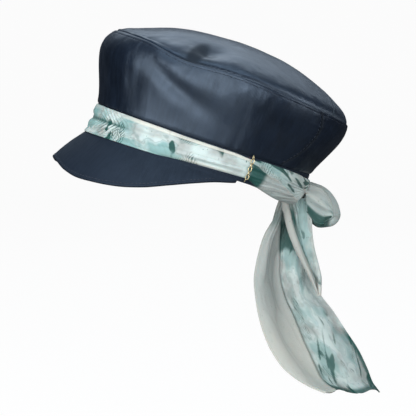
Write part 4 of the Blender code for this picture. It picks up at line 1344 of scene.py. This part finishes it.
@dataclass
class ScarfKnot:
    """The knot behind: a folded lump of cloth pressed on the wound scarf."""

    shape: CapShape
    finishes: Finishes
    scarf: WoundScarf
    half_height: float = 0.0095
    half_width: float = 0.011
    half_depth: float = 0.0065
    level: float = 0.33
    press: float = 0.55
    rows: int = 60
    columns: int = 120

    def place(self) -> tuple[Array, float]:
        """The level knot's middle, and how far back its pressed face is."""
        puff = self.scarf.packed_puff(np.array([math.pi]), np.linspace(0.2, 0.85, 27)).max()
        face = self.shape.band_wall + float(puff) + 2 * self.shape.seam_gap
        middle = self.shape.oval(np.array(math.pi), np.array(face + self.press * self.half_depth),
                                 np.array(self.level * self.shape.band_height))
        return middle, self.shape.half_length + face

    def build(self, tailor: Tailor) -> bpy.types.Object:
        """A ball pulled to the knot's sizes, with folds that wind round it."""
        middle, face = self.place()
        up = np.linspace(-math.pi / 2, math.pi / 2, self.rows)[:, None]
        around = np.linspace(-math.pi, math.pi, self.columns + 1)[None, :]
        fold = (1 + 0.07 * np.cos(5 * around) * np.cos(up) ** 2
                + 0.05 * np.cos(9 * around + 5 * up) * np.cos(up)
                + 0.018 * np.cos(23 * around + 9 * up) * np.cos(up))
        x = self.half_width * fold * np.cos(up) * np.sin(around)
        y = self.half_depth * fold * np.cos(up) * np.cos(around)
        z = np.broadcast_to(self.half_height * np.sin(up), x.shape)
        points = np.stack([x, y, z], axis=-1) + middle
        points[..., 1] = np.maximum(points[..., 1], face)
        groove = np.clip(-np.cos(9 * around + 5 * up), 0, 1) * np.cos(up)
        marks = {"ink": np.full(x.shape, 0.4).ravel(), "hem": np.zeros(x.size),
                 "shade": (0.12 * groove).ravel()}
        quads = grid_quads(self.rows, self.columns + 1)[:, ::-1]
        cloth = paired(around * 0.010, up * 0.010).reshape(-1, 2)
        mesh = tailor.mesh("scarf_knot_cloth", self.shape.worn(points).reshape(-1, 3), quads, cloth,
                           marks, np.zeros(len(quads)))
        return tailor.piece("scarf_knot_cloth", mesh, Slot.PRINT, [self.finishes.scarf_end],
                            ["scarf_knot"])


@dataclass
class BowLoop:
    """The one bow loop: cloth that runs out of the knot, over and back under it."""

    knot: ScarfKnot
    finishes: Finishes
    length: float = 0.027
    width: float = 0.028
    backs: Curve = Curve(LOOP_PLACES, (-.36, .30, .76, .98, 1.04, .95, .70, .36, .08, -.16))
    downs: Curve = Curve(LOOP_PLACES, (-.36, -.24, .10, .50, .78, 1.02, 1.18, 1.21, 1.02, .62))
    breadths: Curve = Curve(LOOP_PLACES, (1.0, .98, .97, .98, 1.0, .98, .94, .90, .88, .84))
    curls: Curve = Curve(LOOP_PLACES, (0, .10, .26, .34, .38, .40, .36, .24, .08, 0))
    curl_power: float = 2.5
    sideways: float = 0.10
    cloth: float = 0.0011
    steps: int = 120
    columns: int = 60

    def line(self, run: Array, across: Array) -> Array:
        """The cloth's points: out of the knot, over and back, its edges curled inwards."""
        middle = self.knot.shape.worn(self.knot.place()[0])
        nudge = 0.004
        back, down = self.length * self.backs(run), self.length * self.downs(run)
        inward_y = self.downs(run + nudge) - self.downs(run - nudge)
        inward_z = self.backs(run + nudge) - self.backs(run - nudge)
        size = np.maximum(np.hypot(inward_y, inward_z), 1e-9)
        lift = self.length * self.curls(run) * abs(across) ** self.curl_power
        x = middle[0] + self.sideways * self.width + self.width / 2 * self.breadths(run) * across
        y = middle[1] + back - lift * inward_y / size
        z = middle[2] - down - lift * inward_z / size
        return np.stack(np.broadcast_arrays(x, y, z), axis=-1)

    def build_cloth(self, tailor: Tailor) -> bpy.types.Object:
        """A run of cloth with curled edges, lengthwise pleats and a fine rolled hem."""
        run = np.linspace(0, 1, self.steps)[:, None]
        across = np.linspace(1, -1, self.columns)[None, :]
        run, across = np.broadcast_arrays(run, across)
        ends = np.clip(1 - run / 0.25, 0, 1) + np.clip((run - 0.75) / 0.25, 0, 1)
        pleat = np.cos(7 * across + 1.2 * np.sin(6 * run)) * (0.35 + 0.65 * ends)
        edge = smooth_step(abs(across), 0.90, 0.96)
        cloth = np.stack([across * self.width / 2, run * 0.085], axis=-1)
        shade = 0.12 * ends * np.clip(-pleat, 0, 1) + 0.85 * smooth_step(run, 0.66, 0.72)
        marks = {"hem": 0.2 * edge, "shade": np.clip(shade, 0, 1),
                 "ink": 0.15 + 0.85 * smooth_step(run, 0.45, 0.60)}
        face = Surface(self.line(run, across), cloth, marks)
        face.points = face.moved(0.0006 * pleat)
        thick = self.cloth * (0.5 + 0.5 * edge)
        return tailor.shell("scarf_loop_cloth", face, face.moved(-thick), Slot.PRINT,
                            (self.finishes.scarf_end, self.finishes.scarf_end), ["scarf_loop"])

    def build_side(self, tailor: Tailor, side: int) -> bpy.types.Object:
        """The gathered cloth that nearly closes one side of the loop.

        Each point lies between the loop's upper edge and its lower one, a little inside them, and
        long creases run from the knot to the loop's end.
        """
        out = np.linspace(0, 1, 70)[:, None]
        over = np.linspace(0, 1, 48)[None, :]
        out, over = np.broadcast_arrays(out, over)
        upper = self.line(0.44 * out, np.full_like(out, 0.97 * side))
        lower = self.line(1 - 0.56 * out, np.full_like(out, 0.97 * side))
        points = upper * (1 - over)[..., None] + lower * over[..., None]
        body = np.sin(math.pi * over) * np.clip(6 * (1 - out), 0, 1)
        ripple = SoftNoise(71 + side, (5, 5))(0.1 + 0.8 * over, out)
        creases = np.cos(TWO_PI * (2.3 * over + 0.25 * out) + 1.4 * ripple)
        points[..., 0] += side * body * (0.0022 + 0.0012 * creases)
        inside = bell(over, 0.42, 0.16) * smooth_step(out, 0.45, 0.70)
        under = smooth_step(over, 0.70, 0.78) * (1 - smooth_step(out, 0.62, 0.80))
        # The hem mark here is a painted highlight: a light line along the ridge of the near ply,
        # running from the knot outwards.
        marks = {"hem": 0.45 * bell(over, 0.30 + 0.38 * out, 0.07) * (1 - out),
                 "shade": np.clip(0.38 * inside + 0.92 * under, 0, 1),
                 "ink": 0.15 + 0.3 * over}
        cloth = np.stack([over * 0.02, out * 0.03], axis=-1)
        if side > 0:
            points, cloth = points[:, ::-1], cloth[:, ::-1]
            marks = {name: values[:, ::-1] for name, values in marks.items()}
        face = Surface(points, cloth, marks)
        return tailor.shell(f"scarf_loop_side_{'left' if side > 0 else 'right'}", face,
                            face.moved(-0.0005), Slot.PRINT,
                            (self.finishes.scarf_end, self.finishes.scarf_end))

    def build(self, tailor: Tailor) -> None:
        """The loop's cloth and the gathered cloth at both its sides, built as three pieces of one
        scarf cloth.
        """
        piece = self.build_cloth(tailor)
        sides = [self.build_side(tailor, side) for side in (1, -1)]


class TailKind(NamedTuple):
    """The sizes of one hanging tail, as the part's source states them."""

    name: str
    node: str
    length: float
    width: float
    fold: float
    folds: float
    slant: float
    aside: float
    fronts: Curve
    backs: Curve
    flat: tuple[float, float]


@dataclass
class ScarfTails:
    """The long tail and the short one that hangs in front of it."""

    knot: ScarfKnot
    finishes: Finishes
    aside_at_top: float = 0.45
    aside_below: float = 0.15
    fold_at_top: float = 0.35
    fold_drift: float = 1.2
    tuck: float = 0.0095
    cloth: float = 0.0010
    rows: int = 200
    columns: int = 124
    pleat_line: Curve = Curve((0, .06, .16, .30, .45, .60, .80, .88, 1.0),
                              (.13, .20, .33, .43, .45, .46, .41, .36, .25))
    droop: Curve = Curve((0, .22, .50, .80, .92, 1.0),
                         (.0050, .0020, -.0015, -.0027, -.0050, -.0085))
    tip_back: float = 0.003
    turned_edge: float = 0.0056
    turned_roll: float = 0.0015
    long: TailKind = TailKind(
        "scarf_tail_long_cloth", "scarf_tail_long", 0.1805, 0.090, 0.0080, 1.6, 0.030, -0.045,
        Curve(LONG_TAIL_PLACES, (-.24, -.30, -.424, -.496, -.559, -.587, -.574, -.538, -.471,
                                 -.373, -.206, -.078, .121)),
        Curve(LONG_TAIL_PLACES, (0, 0, .014, .016, .039, .072, .144, .328, .471, .593, .706, .748,
                                 .819)),
        (0.125, 0.185))
    short: TailKind = TailKind(
        "scarf_tail_short_cloth", "scarf_tail_short", 0.085, 0.025, 0.004, 1.2, 0.0, 0.40,
        Curve(SHORT_TAIL_PLACES, (-.90, -1.08, -1.0, -.68, -.36, -.02, .24)),
        Curve(SHORT_TAIL_PLACES, (-.06, -.04, -.01, .06, .20, .33, .30)),
        (0.030, 0.086))

    def under_knot(self, x: Array) -> Array:
        """How far below the knot's middle its underside is at this distance to the side."""
        tilt = math.radians(self.knot.shape.tilt_back)
        lowest = math.hypot(self.knot.half_height * math.cos(tilt),
                            self.knot.half_depth * math.sin(tilt))
        off = np.clip(x / self.knot.half_width, -0.9, 0.9)
        return lowest * np.sqrt(1 - off**2) + 2 * self.knot.shape.seam_gap

    def hang(self, kind: TailKind, down: Array, across: Array) -> Array:
        """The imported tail's points: between its two edges, in folds that grow downwards."""
        middle = self.knot.shape.worn(self.knot.place()[0])
        front, back = kind.width * kind.fronts(down), kind.width * kind.backs(down)
        y = middle[1] + front + (back - front) * across
        wave = np.sin(TWO_PI * kind.folds * across + self.fold_drift * down)
        away = self.aside_at_top + (1 - self.aside_at_top) * np.clip(down / self.aside_below, 0, 1)
        x = kind.aside * kind.width * away + kind.slant * (0.5 - across) * down
        x = x + kind.fold * wave * (self.fold_at_top + (1 - self.fold_at_top) * down)
        z = (middle[2] - self.under_knot(x) * (1 - down) - self.knot.half_height * down
             - kind.length * down)
        z = z + self.tuck * (1 - smooth_step(down, 0.0, 0.10)) * (1 - 0.8 * across)
        return np.stack([x + middle[0], y, z], axis=-1)

    def build_long(self, tailor: Tailor) -> bpy.types.Object:
        """The long tail, with a lengthwise pleat step, soft ripples and rolled hems."""
        kind = self.long
        down = np.linspace(0, 1, self.rows)[:, None] ** 1.15
        across = np.linspace(0, 1, self.columns)[None, :]
        down, across = np.broadcast_arrays(down, across)
        points = self.hang(kind, down, across)
        line = self.pleat_line(down)
        step = 1 - smooth_step(across, line - 0.006, line + 0.012)
        grow = smooth_step(down, 0.02, 0.12)
        points[..., 0] += 0.0026 * step * grow - 0.0009 * grow
        points[..., 1] += self.tip_back * smooth_step(down, 0.85, 1.0) * smooth_step(across, 0.7, 1)
        points[..., 2] += self.droop(across) * smooth_step(down, 0.82, 1.0)
        width = kind.width * (kind.backs(down) - kind.fronts(down))
        near_side = np.minimum(across, 1 - across) * width
        near_end = (1 - down) * kind.length
        near = np.minimum(near_side, near_end)
        ripple = SoftNoise(61, (11, 7))(0.05 + 0.9 * across, down)
        fine = np.sin(TWO_PI * (8.5 * across + 0.9 * ripple)) * (1 - 0.6 * down)
        tucks = np.sin(TWO_PI * (15 * across + 0.5 * ripple)) * (1 - smooth_step(down, 0, .35))
        hem = 1 - smooth_step(near, 0.0013, 0.0019)
        printed = smooth_step(across, line, line + 0.05)
        dark = printed * (1 - smooth_step(near, 0.002, 0.006)) * smooth_step(down, 0.66, 0.76)
        # The shade mark here: painted shade along the pleat line and in the tucks' troughs; dark
        # print at the edge, in the patch and the blotches; a dark band below the knot and a dark
        # knot at the tip.
        shade = 0.55 * bell(across, line + 0.02, 0.016) * grow
        shade = shade + 0.12 * np.clip(-tucks, 0, 1) * (1 - smooth_step(down, 0, .35)) + 0.9 * dark
        patch = 1 - smooth_step(down + 0.03 * ripple, 0.235, 0.265)
        patch = smooth_step(down, 0.05, 0.12) * patch
        shade = shade + 0.85 * patch * smooth_step(across, line - 0.06, line + 0.04)
        shade = shade + 0.50 * bell(down, 0.085, 0.035) * step
        shade = shade + bell(across, 1.0, 0.03) * bell(down, 1.0, 0.02)
        marked = SoftNoise(65, (40, 20))(0.8 * across + 0.75 * down, 0.8 * down + 0.2 * across)
        marked = smooth_step(marked, 0.46, 0.60)
        shade = shade + 0.8 * marked * printed * smooth_step(down, 0.62, 0.78)
        warm = 0.55 * smooth_step(down, 0.40, 0.80) * (1 - printed)
        marks = {"hem": np.clip(0.25 * hem * (1 - 0.6 * printed) + warm, 0, 1),
                 "shade": np.clip(shade, 0, 1), "ink": 0.06 + 0.64 * printed}
        cloth = np.stack([across * 0.110, down * kind.length], axis=-1)
        face = Surface(points, cloth, marks)
        tucks = tucks * (1 - smooth_step(down, 0.05, 0.2))
        face.points = face.moved(0.0009 * ripple + 0.00018 * fine + 0.0005 * tucks)
        return self.sheet(tailor, kind, face, self.cloth * (0.75 + 0.55 * hem))

    def build_short(self, tailor: Tailor) -> bpy.types.Object:
        """The short tail, its front edge turned over in a thick smooth fold."""
        kind = self.short
        down = np.linspace(0, 1, self.rows // 2)[:, None]
        across = np.linspace(0, 1, 60)[None, :]
        down, across = np.broadcast_arrays(down, across)
        points = self.hang(kind, down, across)
        width = kind.width * (kind.backs(down) - kind.fronts(down))
        from_front = across * width
        turned = np.clip(1 - from_front / self.turned_edge, 0, 1)
        points[..., 0] += self.turned_roll * np.sqrt(np.clip(1 - (1 - 2 * turned) ** 2, 0, 1))
        near = np.minimum((1 - across) * width, (1 - down) * kind.length)
        hem = 1 - smooth_step(near, 0.0012, 0.0018)
        ripple = SoftNoise(63, (7, 7))(0.05 + 0.9 * across, down)
        tucks = np.sin(TWO_PI * (6 * across + 0.4 * ripple)) * (1 - smooth_step(down, 0, .5))
        cream = smooth_step(turned, 0.02, 0.12)
        # Painted shade along the turned fold's edge and in the tucks' troughs; the stroke beside
        # them is dark print.
        shade = 0.6 * bell(from_front, 0.0064, 0.0009) + 0.25 * np.clip(-tucks, 0, 1)
        stroke = bell(from_front, 0.0084 + 0.0010 * ripple, 0.0014)
        shade = shade + 0.9 * stroke * bell(down, 0.24, 0.15)
        marks = {"hem": np.clip(0.3 * cream + 0.15 * hem, 0, 1),
                 "shade": np.clip(shade, 0, 1) * (1 - cream), "ink": 0.65 * (1 - cream)}
        cloth = np.stack([across * 0.030, 0.2 + down * kind.length], axis=-1)
        face = Surface(points, cloth, marks)
        face.points = face.moved(0.0004 * ripple + 0.0004 * tucks * (1 - cream))
        return self.sheet(tailor, kind, face, self.cloth * (0.75 + 0.4 * hem))

    def sheet(self, tailor: Tailor, kind: TailKind, face: Surface,
              thick: Array) -> bpy.types.Object:
        looks = (self.finishes.scarf_end, self.finishes.scarf_end)
        piece = tailor.shell(kind.name, face, face.moved(-thick), Slot.PRINT, looks, [kind.node])
        return piece

    def build(self, tailor: Tailor) -> None:
        """Both tails."""
        self.build_long(tailor)
        self.build_short(tailor)


class Lamp(NamedTuple):
    """A soft square lamp: its name, direction, distance, size, power and colour."""

    name: str
    direction: tuple[float, float, float]
    distance: float
    size: tuple[float, float]
    power: float
    colour: tuple[float, float, float] = (0.97, 0.985, 1.0)


@dataclass
class Studio:
    """The pale floor, the soft lamps and the camera."""

    target: tuple[float, float, float] = (0.0, 0.011, -0.041)
    azimuth: float = 80.0
    elevation: float = 7.0
    distance: float = 1.6
    lens: float = 151.4
    floor_level: float = -0.29
    floor_reach: float = 3.2
    floor_flat: float = 2.2
    floor_rise: float = 1.6
    world: float = 0.025
    lamps: tuple[Lamp, ...] = (
        Lamp("side_box", (1.0, -0.46, 0.20), 1.3, (2.9, 1.1), 66.0),
        Lamp("top_box", (0.25, 0.03, 1.0), 1.4, (1.3, 1.0), 15.0, (0.74, 0.88, 1.0)),
        Lamp("back_box", (0.30, 0.90, 0.35), 1.7, (0.8, 0.8), 12.0),
        Lamp("far_box", (-0.62, 0.15, 0.70), 1.6, (1.6, 1.3), 12.0, (0.74, 0.87, 1.0)),
    )

    def build_floor(self) -> None:
        """A wide floor that rises gently far away, plain and pale."""
        turn = np.linspace(0, TWO_PI, 97)[None, :]
        reach = np.linspace(0, 1, 40)[:, None] * self.floor_reach
        rise = self.floor_rise * np.clip(reach - self.floor_flat, 0, 1) ** 2 * np.ones_like(turn)
        points = np.stack([reach * np.cos(turn), reach * np.sin(turn), self.floor_level + rise],
                          axis=-1)
        mesh = bpy.data.meshes.new("floor")
        quads = grid_quads(*points.shape[:2])
        mesh.from_pydata(points.reshape(-1, 3).tolist(), [], quads.tolist())
        work = bmesh.new()
        work.from_mesh(mesh)
        bmesh.ops.remove_doubles(work, verts=work.verts, dist=1e-5)
        bmesh.ops.recalc_face_normals(work, faces=work.faces)
        work.to_mesh(mesh)
        work.free()
        mesh.shade_smooth()
        floor = bpy.data.objects.new("studio_floor", mesh)
        bpy.context.scene.collection.objects.link(floor)
        bench = NodeBench("studio_floor", 0.9, Specular_IOR_Level=0.1,
                          Emission_Color=(0.955, 0.955, 0.955, 1.0), Emission_Strength=1.0)
        place = bench.node("ShaderNodeTexCoord").outputs["Object"]
        mottle = bench.noise(place, 2.0, 2.0)
        colour = bench.mixed(mottle, (0.020, 0.020, 0.020), (0.026, 0.026, 0.026))
        mesh.materials.append(bench.finish(colour))
        floor.visible_glossy = False
        floor.visible_diffuse = False

    def build_lamps(self) -> None:
        """Soft lamps aimed at the cap, and a faint even sky."""
        for lamp in self.lamps:
            light = bpy.data.lights.new(lamp.name, "AREA")
            light.shape = "RECTANGLE"
            light.size, light.size_y = lamp.size
            light.energy, light.color = lamp.power, lamp.colour
            thing = bpy.data.objects.new(lamp.name, light)
            direction = Vector(lamp.direction).normalized()
            thing.location = direction * lamp.distance
            thing.rotation_euler = direction.to_track_quat("Z", "Y").to_euler()
            bpy.context.scene.collection.objects.link(thing)
        world = bpy.data.worlds.new("studio")
        world.use_nodes = True
        world.node_tree.nodes["Background"].inputs["Color"].default_value = (0.9, 0.95, 1.0, 1.0)
        world.node_tree.nodes["Background"].inputs["Strength"].default_value = self.world
        bpy.context.scene.world = world
        bpy.context.scene.view_settings.view_transform = "Standard"

    def build_camera(self) -> None:
        """The camera at the photograph's angle, without depth of field."""
        data = bpy.data.cameras.new("camera")
        data.lens, data.sensor_width = self.lens, 36.0
        azimuth, elevation = math.radians(self.azimuth), math.radians(self.elevation)
        back = Vector((math.sin(azimuth) * math.cos(elevation),
                       -math.cos(azimuth) * math.cos(elevation), math.sin(elevation)))
        camera = bpy.data.objects.new("camera", data)
        camera.location = Vector(self.target) + back * self.distance
        camera.rotation_euler = back.to_track_quat("Z", "Y").to_euler()
        bpy.context.scene.collection.objects.link(camera)
        bpy.context.scene.camera = camera

    def build(self) -> None:
        """Floor, lamps and camera."""
        self.build_floor()
        self.build_lamps()
        self.build_camera()


def corners(box: Sequence) -> list[list[float]]:
    """A box's two corners as plain lists."""
    return [[float(value) for value in corner] for corner in box]


def main() -> None:
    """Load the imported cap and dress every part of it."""
    logging.basicConfig(level=logging.INFO, format="%(name)s: %(message)s")
    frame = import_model()
    LOG.info("packed nodes: %d", len(frame["nodes"]))
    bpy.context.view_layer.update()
    Studio().build()
    shape, finishes, tailor = CapShape(), Finishes.make(), Tailor()
    peak = Peak(shape, finishes)
    scarf = WoundScarf(shape, finishes, peak)
    knot = ScarfKnot(shape, finishes, scarf)
    Crown(shape, finishes).build(tailor)
    HeadBand(shape, finishes).build(tailor)
    peak.build(tailor)
    scarf.build(tailor)
    chain = SideChain(shape, finishes, scarf)
    chain.build(tailor, "chain_left_links", "chain_left", 1)
    chain.build(tailor, "chain_right_links", "chain_right", -1)
    knot.build(tailor)
    BowLoop(knot, finishes).build(tailor)
    ScarfTails(knot, finishes).build(tailor)
    LOG.info("pieces: %d", len(tailor.made))


if __name__ == "__main__":
    main()
